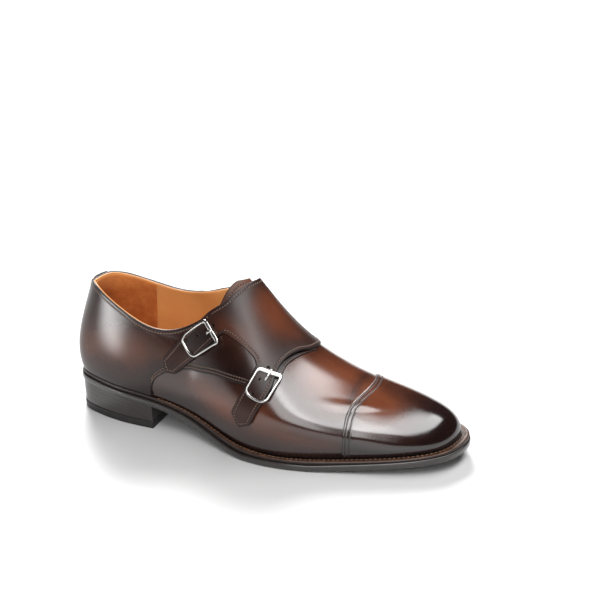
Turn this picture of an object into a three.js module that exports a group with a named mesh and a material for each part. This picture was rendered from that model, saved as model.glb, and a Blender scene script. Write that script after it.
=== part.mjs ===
// Double monk strap shoe, right foot, about EU 42, empty and standing on its sole.
// Millimetres, +X to the toe, +Y to the inner (medial) side of the foot, +Z up.
// Everything above the welt is worked out from one last: thirteen sections that run round the
// foot from the back of the heel (station 0) to the tip of the toe (station 12).
import * as THREE from 'three';

// ---- driving dimensions ----
const FEATHER_BACK = 4;          // x of the upper's bottom edge at the heel
const FEATHER_TIP = 298.3;       // x of the upper's bottom edge at the toe
const HEEL_REST_X = 36;          // centre of the heel's ground face: the part's origin
const LAST_STATION = 12;
const THROAT_STATION = 6;        // the topline meets the instep ridge here
const RIDGE_START = 5;           // from this station on the two sides share one ridge
const GAP = 0.3;                 // between touching pieces
const UPPER_WALL = 2.4;
const OUTSOLE_THICKNESS = 5;
const WELT_SEAT = 3;             // how far the welt reaches in under the upper
const INSOLE_RISE = 2.2;         // insole's top above the upper's bottom edge
const INSOLE_INSET = 3.4;
const HEEL_BREAST_X = 73;
const TOP_PIECE_HEIGHT = 6;
const HEEL_TAPER = 1.2;          // the heel block is this much smaller at the ground, all round
const TONGUE_WALL = 2;
const TONGUE_GAP = 1.3;          // the tongue lies loose under the upper
const CAP_WALL = 1.2;
const BUCKLE_WIRE = 1.1;         // half the thickness of a buckle frame
const PRONG_RADIUS = 0.9;

// ---- the last ----
// lat and med are the outer and inner side of the foot. f: half width of the feather line; zf: its height;
// xt, t, zt: the top of the section, the ankle's rim up to station 4 and the instep ridge after it;
// b: how far the wall leans out just above the feather, r1: how high; q, r2: how flat the section
// arrives at its top; edge: how far the sole reaches past the feather; zs: underside of the outsole.
const COLUMNS = [
  'latF', 'medF', 'zf', 'xt', 'latT', 'medT', 'zt', 'latB', 'medB', 'r1', 'latQ', 'medQ', 'r2', 'edge', 'zs',
];
const STATIONS = [
  [0, 0, 32.5, 20.4, 0, 0, 137, 9.8, 9.8, 0.27, 0.28, 0.28, 0.44, 1.3, 24.1],
  [14.9, 15.5, 32.2, 24, 8.5, 9.5, 139, 9.6, 9, 0.28, 0.28, 0.31, 0.44, 1.1, 23.9],
  [23.5, 26, 31.2, 32, 18, 19.5, 142, 8.3, 8, 0.28, 0.29, 0.31, 0.43, 1.1, 22.9],
  [30, 28.5, 29.3, 52, 22, 24, 143, 7, 6.5, 0.28, 0.2, 0.2, 0.44, 1.4, 20.9],
  [32.6, 26.5, 26.5, 81, 20, 22.5, 147, 6.4, 5, 0.27, 0.1, 0.09, 0.4, 1.5, 17.6],
  [38, 26.5, 19.2, 112.5, -3, 3, 138.5, 7, 5, 0.28, 0.5, 0.42, 0.15, 2, 9.4],
  [52, 33, 10.5, 144, -3, 3, 114.7, 8, 6, 0.36, 0.56, 0.43, 0.03, 3.2, 0.5],
  [54, 41, 8.2, 178.5, -2, 2, 75.2, 7, 7, 0.5, 0.7, 0.6, 0, 4.9, -0.8],
  [46, 42, 9.6, 222, -1, 1, 51.6, 6, 6, 0.52, 0.7, 0.66, 0, 5.6, 1.8],
  [38.2, 37, 12.2, 253.5, 0, 0, 43.2, 5, 5, 0.5, 0.66, 0.65, 0, 5.9, 4.9],
  [29.2, 28.3, 14.6, 276.5, 0, 0, 36.8, 4, 4, 0.5, 0.62, 0.61, 0, 6.2, 7.3],
  [17.2, 15.1, 16.9, 291, 0, 0, 31, 1.5, 1.5, 0.52, 0.6, 0.6, 0, 6.6, 8.9],
  [0, 0, 18.8, 298.3, 0, 0, 18.8, 0, 0, 0.52, 0.6, 0.6, 0, 7.3, 10],
];
// The topline, from the back of the heel to the throat: station and height share of each side.
const TOPLINE_COLUMNS = ['latK', 'latV', 'medK', 'medV'];
const TOPLINE = [
  [0, 0.705, 0, 0.705],
  [1, 0.715, 0.95, 0.703],
  [2.03, 0.682, 1.95, 0.659],
  [3.2, 0.572, 3.04, 0.614],
  [4.4, 0.48, 4.25, 0.57],
  [5.47, 0.66, 5.68, 0.7],
  [6, 1, 6, 1],
];

// ---- the strap panel ----
// Each point is [station, girth]: girth is 0 on the instep ridge, 1 at the outer feather, -1 at the inner one.
// A row runs across the panel; its edges are named from the toe side to the ankle side.
const PANEL_ROWS = [
  { front: [4.7, -0.72], top: [4.55, -0.425] },
  { front: [5.3, -0.67], top: [5.15, -0.385] },
  { front: [5.9, -0.665], top: [5.6, -0.325] },
  { front: [6.35, -0.68], top: [5.78, -0.26] },
  { front: [6.5, -0.6], top: [5.87, -0.19] },
  { front: [6.87, -0.42], top: [5.95, -0.13] },
  { front: [7.17, -0.22], top: [5.99, -0.06] },
  { front: [7.22, 0], top: [6.0, 0.01] },
  { front: [7.06, 0.15], top: [5.93, 0.09] },
  { front: [6.9, 0.3], top: [5.8, 0.19] },
  { front: [6.82, 0.39], top: [5.58, 0.31] },
];
const PANEL_END = {
  front: [6.78, 0.46], back: [6.42, 0.475], mid: [5.99, 0.452], fore: [5.56, 0.466], top: [5.24, 0.405],
};
// Two straps leave the panel's outer end; each row is [ankle-side edge, toe-side edge].
const STRAPS = {
  upper: [
    [[4.95, 0.485], [5.3, 0.555]],
    [[4.58, 0.565], [5.0, 0.638]],
    [[4.4, 0.62], [4.78, 0.69]],
    [[4.21, 0.685], [4.58, 0.74]],
    [[4.3, 0.758], [4.48, 0.765]],
  ],
  lower: [
    [[6.34, 0.56], [6.73, 0.545]],
    [[6.19, 0.66], [6.6, 0.65]],
    [[6.08, 0.73], [6.49, 0.72]],
    [[5.97, 0.795], [6.38, 0.785]],
    [[6.09, 0.835], [6.28, 0.825]],
  ],
};
// On the outer side it lies on the outer quarter, so it is lifted there, between the girths of rise.
const PANEL = { lift: 0.7, lateralLift: 1.5, wall: 1.6, lateralWall: 1.8, rise: [-0.35, 0.15] };

// Tongue: its ankle-side edge, station against girth, and where it ends under the panel.
const TONGUE_EDGE = [
  [-0.33, 5.8], [-0.22, 5.78], [-0.1, 5.86], [0, 5.91], [0.12, 5.76], [0.26, 5.5], [0.38, 5.34],
];
const TONGUE_END = 7.2;
const TONGUE_NARROWING = 0.25;   // share of its width the tongue loses on its way under the panel

// Toe cap: its rear edge is straight up the sides and bows forward over the ridge.
const CAP_STATION = 8.08;
const CAP_BOW = 0.25;
const CAP_BOW_GIRTH = 0.55;

// Buckles: centre in side view, direction of the strap in degrees below the horizontal, frame size.
const BUCKLES = [
  { name: 'upper', x: 115.9, z: 76.9, slope: 38, length: 27.5, width: 21 },
  { name: 'lower', x: 167.8, z: 53.4, slope: 68, length: 20, width: 18.4 },
];

// ---- splines through table columns ----
const PHANTOMS = 4;
const SPLINE_PASSES = 40;

// The coefficients of the smooth curve that runs through the points, found by repeated correction.
function coefficients(points) {
  const c = [...points];
  for (let pass = 0; pass < SPLINE_PASSES; pass += 1) {
    const old = [...c];
    for (let i = 1; i < c.length - 1; i += 1) c[i] = (6 * points[i] - old[i - 1] - old[i + 1]) / 4;
  }
  return c;
}

function evaluate(c, at) {
  const i = Math.min(Math.max(Math.floor(at), 1), c.length - 3);
  const f = at - i;
  const g = 1 - f;
  return (c[i - 1] * g ** 3 + c[i] * (3 * f ** 3 - 6 * f ** 2 + 4)
    + c[i + 1] * (-3 * f ** 3 + 3 * f ** 2 + 3 * f + 1) + c[i + 2] * f ** 3) / 6;
}

// Across the heel the curve carries on into the other side's rows; across the far end it mirrors itself.
function column(own, other, heelSign, farSign, farCentre = 0) {
  const before = other.slice(1, PHANTOMS + 1).reverse().map((v) => heelSign * v);
  const after = other.slice(-PHANTOMS - 1, -1).reverse().map((v) => 2 * farCentre + farSign * v);
  const c = coefficients([...before, ...own, ...after]);
  return (at) => evaluate(c, at + PHANTOMS);
}

const pick = (rows, columns, name) => rows.map((row) => row[columns.indexOf(name)]);
const station = (name) => pick(STATIONS, COLUMNS, name);
const featherX = STATIONS.map((_, k) => FEATHER_BACK
  + ((FEATHER_TIP - FEATHER_BACK) / 2) * (1 - Math.cos((Math.PI * k) / LAST_STATION)));
const scaled = (values, sign) => values.map((v) => sign * v);

function side(own, other, sign) {
  const even = (name) => column(station(name), station(name), 1, 1);
  const height = station('zt').map((z, k) => z - station('zf')[k]);
  const top = (name) => pick(TOPLINE, TOPLINE_COLUMNS, name);
  return {
    sign,
    xf: column(featherX, featherX, 1, 1),
    yf: column(scaled(station(`${own}F`), sign), scaled(station(`${other}F`), -sign), 1, 1),
    yt: column(scaled(station(`${own}T`), sign), scaled(station(`${other}T`), -sign), 1, 1),
    height: column(height, height, 1, -1),
    bulge: column(station(`${own}B`), station(`${other}B`), 1, 1),
    q: column(station(`${own}Q`), station(`${other}Q`), 1, 1),
    zf: even('zf'),
    xt: even('xt'),
    r1: even('r1'),
    r2: even('r2'),
    edge: even('edge'),
    zs: even('zs'),
    topK: column(top(`${own}K`), top(`${other}K`), -1, 1),
    topV: column(top(`${own}V`), top(`${other}V`), 1, -1, 1),
  };
}

const LATERAL = side('lat', 'med', -1);
const MEDIAL = side('med', 'lat', 1);
const ridgeRows = station('medT').slice(RIDGE_START);
const ridgeC = coefficients([...Array(PHANTOMS).fill(ridgeRows[0]), ...ridgeRows, 0, 0, 0, 1]);
const ridgeY = (k) => evaluate(ridgeC, Math.max(k - RIDGE_START, -1) + PHANTOMS);

function smooth(a, b, x) {
  const t = Math.min(Math.max((x - a) / (b - a), 0), 1);
  return t * t * t * (10 - 15 * t + 6 * t * t);
}

// ---- points on the last ----
const RIDGE_BLEND = [4.2, 5.2];  // stations over which the top of the section moves onto the ridge
const LEAN_BLEND = [3, 5];       // stations over which the ankle's lean dies away

function planNormal(s, k) {
  const e = 0.001;
  if (k < e) return new THREE.Vector2(-1, 0);
  const dx = s.xf(k + e) - s.xf(k - e);
  const dy = s.yf(k + e) - s.yf(k - e);
  return new THREE.Vector2(-s.sign * dy, s.sign * dx).normalize();
}

function lastPoint(s, k, v) {
  const foot = new THREE.Vector3(s.xf(k), s.yf(k), s.zf(k));
  const h = s.height(k);
  const onRidge = smooth(...RIDGE_BLEND, k);
  const head = new THREE.Vector3(s.xt(k), s.yt(k) * (1 - onRidge) + ridgeY(k) * onRidge, foot.z + h);
  const n = planNormal(s, k).multiplyScalar(s.bulge(k));
  const c1 = foot.clone().add(new THREE.Vector3(n.x, n.y, s.r1(k) * h));
  const q = s.q(k);
  const lean = (foot.x - head.x) * q * (1 - smooth(...LEAN_BLEND, k));
  const c2 = head.clone().add(new THREE.Vector3(lean, (foot.y - head.y) * q, -s.r2(k) * h));
  return new THREE.CubicBezierCurve3(foot, c1, c2, head).getPoint(v);
}

function lastNormal(s, k, v) {
  const e = 0.004;
  const kk = Math.min(k, LAST_STATION - 0.02);
  const vv = Math.min(Math.max(v, e), 1 - e);
  const along = lastPoint(s, kk + e, vv).sub(lastPoint(s, kk - e, vv));
  const up = lastPoint(s, kk, vv + e).sub(lastPoint(s, kk, vv - e));
  const n = along.cross(up).multiplyScalar(-s.sign).normalize();
  if (v > 1 - 2 * e) n.y = 0;
  if (k < 2 * e) n.y = 0;
  return n.normalize();
}

// A point off the last's surface, kept above the feather line.
function skin(s, k, v, offset) {
  const p = lastPoint(s, k, v).addScaledVector(lastNormal(s, k, v), offset);
  p.z = Math.max(p.z, s.zf(k));
  return p;
}

// A point given by station and girth.
function girthPoint(k, girth, offset) {
  return skin(girth < 0 ? MEDIAL : LATERAL, k, 1 - Math.abs(girth), offset);
}

// The outer side's station and height share under a point of the side view, found by Newton steps.
const LOCATE_STEPS = 30;

function locate(x, z) {
  let k = 5;
  let v = 0.4;
  const e = 0.001;
  for (let i = 0; i < LOCATE_STEPS; i += 1) {
    const p = lastPoint(LATERAL, k, v);
    const a = lastPoint(LATERAL, k + e, v).sub(p).divideScalar(e);
    const b = lastPoint(LATERAL, k, v + e).sub(p).divideScalar(e);
    const det = a.x * b.z - a.z * b.x;
    k += ((x - p.x) * b.z - (z - p.z) * b.x) / det;
    v += ((z - p.z) * a.x - (x - p.x) * a.z) / det;
  }
  return [k, v];
}

function solePoint(s, k, reach, z) {
  const n = planNormal(s, k).multiplyScalar(s.edge(k) + reach);
  return new THREE.Vector3(s.xf(k) + n.x, s.yf(k) + n.y, z);
}

const underside = (k) => Math.max(LATERAL.zs(k), 0);

// ---- closed meshes ----
const KEY_SCALE = 2000;
const keyOf = (p) => [p.x, p.y, p.z].map((c) => Math.round(c * KEY_SCALE)).join(' ');

// Joins equal points of a sheet and drops the faces that close up.
function weld(points, faces) {
  const seen = new Map();
  const kept = [];
  const index = points.map((p, i) => {
    const key = keyOf(p);
    if (!seen.has(key)) {
      seen.set(key, kept.length);
      kept.push(i);
    }
    return seen.get(key);
  });
  const joined = faces.map((f) => f.map((i) => index[i]))
    .filter(([a, b, c]) => a !== b && b !== c && c !== a);
  return { kept, joined };
}

function geometry(points, faces) {
  const g = new THREE.BufferGeometry();
  g.setAttribute('position', new THREE.Float32BufferAttribute(points.flatMap((p) => [p.x, p.y, p.z]), 3));
  g.setIndex(faces.flat());
  g.computeVertexNormals();
  return g;
}

// Two skins with the same faces, joined by a wall along every free edge.
function shell(outerPoints, innerPoints, faces) {
  const { kept, joined } = weld(outerPoints, faces);
  const outer = kept.map((i) => outerPoints[i]);
  const inner = kept.map((i) => innerPoints[i]);
  const n = outer.length;
  const edges = new Set(joined.flatMap(([a, b, c]) => [`${a} ${b}`, `${b} ${c}`, `${c} ${a}`]));
  const all = [...joined, ...joined.map(([a, b, c]) => [n + a, n + c, n + b])];
  for (const edge of edges) {
    const [a, b] = edge.split(' ').map(Number);
    if (!edges.has(`${b} ${a}`)) all.push([a, n + a, b], [b, n + a, n + b]);
  }
  return geometry([...outer, ...inner], all);
}

// Faces of a grid with rows x columns points.
function gridFaces(rows, columns, first, flip) {
  const faces = [];
  for (let i = 0; i < rows - 1; i += 1) {
    for (let j = 0; j < columns - 1; j += 1) {
      const a = first + i * columns + j;
      const b = a + columns;
      const quad = [[a, b, b + 1], [a, b + 1, a + 1]];
      faces.push(...quad.map(([p, q, r]) => (flip ? [p, r, q] : [p, q, r])));
    }
  }
  return faces;
}

function range(count, from, to) {
  return Array.from({ length: count }, (_, i) => from + ((to - from) * i) / (count - 1));
}

// A ring of sections, or a bar of sections with both ends closed.
function sweep(sections, closed) {
  const count = sections.length;
  const m = sections[0].length;
  const points = sections.flat();
  const faces = [];
  for (let i = 0; i < (closed ? count : count - 1); i += 1) {
    for (let j = 0; j < m; j += 1) {
      const a = i * m + j;
      const b = i * m + ((j + 1) % m);
      const c = ((i + 1) % count) * m + j;
      const d = ((i + 1) % count) * m + ((j + 1) % m);
      faces.push([a, d, b], [a, c, d]);
    }
  }
  if (!closed) {
    for (let j = 1; j < m - 1; j += 1) {
      faces.push([0, j, j + 1]);
      faces.push([(count - 1) * m, (count - 1) * m + j + 1, (count - 1) * m + j]);
    }
  }
  return geometry(points, faces);
}

// ---- upper ----
const SIDE_STEPS = 36;
const HEIGHT_STEPS = 12;

// Grid place to station and height share: columns bend forward so that they end on the topline.
function upperPlace(s, u, w) {
  if (u >= THROAT_STATION) return [u, w];
  return [u + (s.topK(u) - u) * w * w, s.topV(u) * w];
}

function upperGeometry() {
  const outer = [];
  const inner = [];
  const faces = [];
  for (const s of [LATERAL, MEDIAL]) {
    const first = outer.length;
    for (const u of range(SIDE_STEPS + 1, 0, LAST_STATION)) {
      for (const w of range(HEIGHT_STEPS, 0, 1)) {
        const [k, v] = upperPlace(s, u, w);
        outer.push(skin(s, k, v, 0));
        inner.push(skin(s, k, v, -UPPER_WALL));
      }
    }
    faces.push(...gridFaces(SIDE_STEPS + 1, HEIGHT_STEPS, first, s === MEDIAL));
  }
  return shell(outer, inner, faces);
}

// ---- sole ----
const ACROSS = 5;
const OUTSOLE_ROWS = 49;
const INSOLE_ROWS = 37;
const HEEL_ROWS = 19;
const WELT_ROWS = 2 * SIDE_STEPS;

// A plate between the two sides from the heel to the given end; low and high give the two faces.
function plate(steps, endOf, low, high) {
  const upper = [];
  const lower = [];
  for (const t of range(steps, 0, 1)) {
    for (const c of range(ACROSS, 0, 1)) {
      const kl = t * endOf(LATERAL);
      const km = t * endOf(MEDIAL);
      upper.push(high(LATERAL, kl).lerp(high(MEDIAL, km), c));
      lower.push(low(LATERAL, kl).lerp(low(MEDIAL, km), c));
    }
  }
  return shell(upper, lower, gridFaces(steps, ACROSS, 0, false));
}

const wholeLength = () => LAST_STATION;

function outsoleGeometry() {
  return plate(
    OUTSOLE_ROWS,
    wholeLength,
    (s, k) => solePoint(s, k, 0, underside(k)),
    (s, k) => solePoint(s, k, 0, underside(k) + OUTSOLE_THICKNESS),
  );
}

function insoleGeometry() {
  const inside = (s, k) => -s.edge(k) - INSOLE_INSET;
  return plate(
    INSOLE_ROWS,
    wholeLength,
    (s, k) => solePoint(s, k, inside(s, k), underside(k) + OUTSOLE_THICKNESS + GAP),
    (s, k) => solePoint(s, k, inside(s, k), s.zf(k) + INSOLE_RISE),
  );
}

function weltGeometry() {
  const top = [];
  const bottom = [];
  const lap = [];
  for (const t of range(WELT_ROWS + 1, 0, 1).slice(0, WELT_ROWS)) {
    const u = 2 * LAST_STATION * t;
    lap.push(u <= LAST_STATION ? [LATERAL, u] : [MEDIAL, 2 * LAST_STATION - u]);
  }
  lap.push(lap[0]);
  for (const [s, k] of lap) {
    const inside = -s.edge(k) - WELT_SEAT;
    for (const r of range(3, 0, 1)) {
      top.push(solePoint(s, k, inside * (1 - r), s.zf(k) - GAP));
      bottom.push(solePoint(s, k, inside * (1 - r), underside(k) + OUTSOLE_THICKNESS + GAP));
    }
  }
  return shell(top, bottom, gridFaces(lap.length, 3, 0, true));
}

// ---- heel ----
// The station at which the heel's front face crosses a side, found by halving.
const HALVINGS = 40;

function breastStation(s) {
  let low = 3;
  let high = 5;
  for (let i = 0; i < HALVINGS; i += 1) {
    const mid = (low + high) / 2;
    if (solePoint(s, mid, 0, 0).x < HEEL_BREAST_X) low = mid;
    else high = mid;
  }
  return low;
}

function heelPart(zLow, zHigh) {
  const full = underside(0);
  const taper = (z) => -HEEL_TAPER * (1 - z / full);
  const at = (s, k, z) => solePoint(s, k, taper(z), z);
  return plate(HEEL_ROWS, breastStation, (s, k) => at(s, k, zLow(k)), (s, k) => at(s, k, zHigh(k)));
}

const topPieceGeometry = () => heelPart(() => 0, () => TOP_PIECE_HEIGHT);
const heelStackGeometry = () => heelPart(() => TOP_PIECE_HEIGHT + GAP, (k) => underside(k) - GAP);

// ---- overlays on the upper ----
const mix = (a, b, t) => [a[0] + (b[0] - a[0]) * t, a[1] + (b[1] - a[1]) * t];

// A smooth line through a list of [station, girth] points, as count points.
function through(points, count) {
  const curve = new THREE.SplineCurve(points.map(([a, b]) => new THREE.Vector2(a, b * 10)));
  return range(count, 0, 1).map((t) => curve.getPoint(t)).map((p) => [p.x, p.y / 10]);
}

function panelLift(girth) {
  const t = smooth(...PANEL.rise, girth);
  const low = PANEL.lift + (PANEL.lateralLift - PANEL.lift) * t;
  return [low, low + PANEL.wall + (PANEL.lateralWall - PANEL.wall) * t];
}

const PANEL_PARTS = 4;           // grid columns in each of the panel's strap and gap bands
const BANDS = 4;                 // lower strap, two halves of the gap, upper strap
const BODY_STEPS = 27;
const END_BLEND = 0.6;           // share of the panel's body after which it turns towards the strap roots
const STRAP_STEPS = 10;

function panelRows() {
  const front = through([...PANEL_ROWS.map((r) => r.front), PANEL_END.front], BODY_STEPS);
  const top = through([...PANEL_ROWS.map((r) => r.top), PANEL_END.top], BODY_STEPS);
  const end = [PANEL_END.front, PANEL_END.back, PANEL_END.mid, PANEL_END.fore, PANEL_END.top];
  return front.map((f, i) => {
    const towardsEnd = smooth(BODY_STEPS * END_BLEND, BODY_STEPS - 1, i);
    const columns = BANDS * PANEL_PARTS;
    return range(columns + 1, 0, 1).map((c) => {
      const plain = mix(f, top[i], c);
      const band = Math.min(Math.floor(c * BANDS), BANDS - 1);
      const shaped = mix(end[band], end[band + 1], c * BANDS - band);
      const evenly = mix(end[0], end[BANDS], c);
      return plain.map((value, axis) => value + (shaped[axis] - evenly[axis]) * towardsEnd);
    });
  });
}

function strapRows(root, rows) {
  const ankle = through([root[0], ...rows.map((r) => r[0])], STRAP_STEPS);
  const toe = through([root[1], ...rows.map((r) => r[1])], STRAP_STEPS);
  return ankle.map((a, i) => range(PANEL_PARTS + 1, 0, 1).map((c) => mix(toe[i], a, c)));
}

function panelGeometry() {
  const outer = [];
  const inner = [];
  const faces = [];
  const add = (rows) => {
    const first = outer.length;
    for (const [k, girth] of rows.flat()) {
      const [low, high] = panelLift(girth);
      outer.push(girthPoint(k, girth, high));
      inner.push(girthPoint(k, girth, low));
    }
    faces.push(...gridFaces(rows.length, rows[0].length, first, true));
  };
  add(panelRows());
  add(strapRows([PANEL_END.top, PANEL_END.fore], STRAPS.upper));
  add(strapRows([PANEL_END.back, PANEL_END.front], STRAPS.lower));
  return shell(outer, inner, faces);
}

const CAP_ROWS = 13;
const CAP_COLUMNS = 25;

function capGeometry() {
  const outer = [];
  const inner = [];
  const girths = range(CAP_COLUMNS, -1, 1);
  for (const t of range(CAP_ROWS, 0, 1)) {
    for (const girth of girths) {
      const bow = Math.min(Math.abs(girth) / CAP_BOW_GIRTH, 1);
      const rear = CAP_STATION + CAP_BOW * Math.cos((Math.PI * bow) / 2) ** 2;
      const k = rear + (LAST_STATION - rear) * t;
      outer.push(girthPoint(k, girth, GAP + CAP_WALL));
      inner.push(girthPoint(k, girth, GAP));
    }
  }
  return shell(outer, inner, gridFaces(CAP_ROWS, girths.length, 0, true));
}

const TONGUE_COLUMNS = 13;
const TONGUE_ROWS = 12;

function tongueGeometry() {
  const outer = [];
  const inner = [];
  const edge = through(TONGUE_EDGE.map(([g, k]) => [k, g]), TONGUE_COLUMNS);
  const deep = UPPER_WALL + TONGUE_GAP;
  for (const [k0, g0] of edge) {
    for (const t of range(TONGUE_ROWS, 0, 1)) {
      const k = k0 + (TONGUE_END - k0) * t;
      const girth = g0 * (1 - TONGUE_NARROWING * t);
      outer.push(girthPoint(k, girth, -deep));
      inner.push(girthPoint(k, girth, -deep - TONGUE_WALL));
    }
  }
  return shell(outer, inner, gridFaces(edge.length, TONGUE_ROWS, 0, false));
}

// ---- buckles ----
const BUCKLE_CORNER = 5;
const CORNER_SPOTS = 4;
const WIRE_SIDES = 6;

// Side-view directions along the strap, towards its tip, and across it, towards the toe.
function buckleAxes({ slope }) {
  const a = THREE.MathUtils.degToRad(slope);
  return { along: [-Math.cos(a), -Math.sin(a)], across: [Math.sin(a), -Math.cos(a)] };
}

// A point on the strap under a buckle, a along it and c across it from the buckle's centre.
function buckleSpot(buckle, a, c, height) {
  const { along, across } = buckleAxes(buckle);
  const [k, v] = locate(buckle.x + a * along[0] + c * across[0], buckle.z + a * along[1] + c * across[1]);
  const top = panelLift(1 - v)[1];
  return { centre: skin(LATERAL, k, v, top + GAP + height), up: lastNormal(LATERAL, k, v) };
}

function wireSection(centre, up, heading, width, height) {
  const sideways = heading.clone().cross(up).normalize();
  return range(WIRE_SIDES + 1, 0, 2 * Math.PI).slice(0, WIRE_SIDES).map((angle) => centre.clone()
    .addScaledVector(sideways, width * Math.cos(angle)).addScaledVector(up, height * Math.sin(angle)));
}

function buckleFrame(buckle) {
  const half = [buckle.length / 2 - BUCKLE_WIRE, buckle.width / 2 - BUCKLE_WIRE];
  const spots = [];
  for (const turn of [0, 1, 2, 3]) {
    const sa = turn === 0 || turn === 3 ? 1 : -1;
    const sc = turn < 2 ? 1 : -1;
    for (const i of range(CORNER_SPOTS, 0, 1)) {
      const angle = ((turn + i) * Math.PI) / 2;
      spots.push([sa * (half[0] - BUCKLE_CORNER) + BUCKLE_CORNER * Math.cos(angle),
        sc * (half[1] - BUCKLE_CORNER) + BUCKLE_CORNER * Math.sin(angle)]);
    }
  }
  const ring = spots.map(([a, c]) => buckleSpot(buckle, a, c, BUCKLE_WIRE));
  const sections = ring.map(({ centre, up }, i) => {
    const heading = ring[(i + 1) % ring.length].centre.clone().sub(ring.at(i - 1).centre).normalize();
    return wireSection(centre, up, heading, BUCKLE_WIRE, BUCKLE_WIRE);
  });
  return sweep(sections, true);
}

// The prong comes up through the strap near the frame's instep end and lies on that bar. Each place on
// its line is the distance from the bar, towards the strap's tip, and how far below its rest it is.
const PRONG_LINE = [[6, 2.4], [4, 0.9], [2.4, 0], [0, 0], [-1.8, 0]];
const PRONG_POINT = 0.7;

function prongGeometry(buckle) {
  const bar = -buckle.length / 2 + BUCKLE_WIRE;
  const rest = 2 * BUCKLE_WIRE + GAP + PRONG_RADIUS;
  const spots = PRONG_LINE.map(([a, drop]) => buckleSpot(buckle, bar + a, 0, rest - drop));
  const sections = spots.map(({ centre, up }, i) => {
    const before = spots[Math.max(i - 1, 0)].centre;
    const after = spots[Math.min(i + 1, spots.length - 1)].centre;
    const size = PRONG_RADIUS * (i === spots.length - 1 ? PRONG_POINT : 1);
    return wireSection(centre, up, after.clone().sub(before).normalize(), size, size);
  });
  return sweep(sections, false);
}

// ---- assembly ----
const MATERIALS = {
  leather: { color: 0x3b2018, roughness: 0.32, metalness: 0 },
  lining: { color: 0xb06a34, roughness: 0.6, metalness: 0 },
  sole: { color: 0x1c1817, roughness: 0.5, metalness: 0 },
  welt: { color: 0x5a3a28, roughness: 0.55, metalness: 0 },
  metal: { color: 0xc9c9c6, roughness: 0.22, metalness: 1 },
};

const shoe = new THREE.Group();
shoe.position.x = -HEEL_REST_X;

function addPiece(name, shape, material) {
  const mesh = new THREE.Mesh(shape, new THREE.MeshStandardMaterial(MATERIALS[material]));
  mesh.name = name;
  shoe.add(mesh);
}

addPiece('outsole', outsoleGeometry(), 'sole');
addPiece('heel_stack', heelStackGeometry(), 'sole');
addPiece('top_piece', topPieceGeometry(), 'sole');
addPiece('welt', weltGeometry(), 'welt');
addPiece('insole', insoleGeometry(), 'lining');
addPiece('upper', upperGeometry(), 'leather');
addPiece('tongue', tongueGeometry(), 'leather');
addPiece('toe_cap', capGeometry(), 'leather');
addPiece('strap_panel', panelGeometry(), 'leather');
for (const buckle of BUCKLES) {
  addPiece(`buckle_${buckle.name}`, buckleFrame(buckle), 'metal');
  addPiece(`prong_${buckle.name}`, prongGeometry(buckle), 'metal');
}

export default shoe;
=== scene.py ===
"""Looks of the double monk strap shoe, right foot, standing empty on its sole.

The leather pieces are laid out on the same last as the CAD part: thirteen sections from the back of the
heel (station 0) to the tip of the toe (station 12). A place on the shoe is a station and a girth: girth
is 0 on the instep ridge, 1 at the outer bottom edge (the feather) and -1 at the inner one. Everything
is worked out in millimetres with x from the back of the sole, and becomes metres in add_mesh().
"""
import math
from types import SimpleNamespace

import bmesh
import bpy
import numpy as np
from mathutils import Matrix, Vector
from mathutils.kdtree import KDTree


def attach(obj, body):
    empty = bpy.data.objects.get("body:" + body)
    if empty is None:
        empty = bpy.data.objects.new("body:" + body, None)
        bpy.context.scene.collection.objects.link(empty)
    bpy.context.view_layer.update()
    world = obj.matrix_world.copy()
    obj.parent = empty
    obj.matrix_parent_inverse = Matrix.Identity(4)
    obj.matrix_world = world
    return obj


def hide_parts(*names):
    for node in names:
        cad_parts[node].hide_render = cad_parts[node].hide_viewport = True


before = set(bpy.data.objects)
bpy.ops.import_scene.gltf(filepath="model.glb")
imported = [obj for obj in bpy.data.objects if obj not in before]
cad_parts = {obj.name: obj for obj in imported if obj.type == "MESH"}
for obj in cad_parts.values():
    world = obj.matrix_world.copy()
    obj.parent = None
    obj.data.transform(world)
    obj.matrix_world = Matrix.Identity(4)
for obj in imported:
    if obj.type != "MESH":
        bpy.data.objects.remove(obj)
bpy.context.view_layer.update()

# ---- driving sizes, mm ----
MM = 0.001
HEEL_REST_X = 36.0
FEATHER_BACK = 4.0
FEATHER_TIP = 298.3
TIP = 12.0  # last station
GAP = 0.3
OUTSOLE = 5.0
INSOLE_RISE = 2.2
INSOLE_INSET = 3.4
HEEL_BREAST_X = 73.0
TOP_PIECE = 6.0
HEEL_TAPER = 1.2
LIFTS = 4  # leather layers of the heel stack
STITCH = 2.25  # from stitch to stitch

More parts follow.
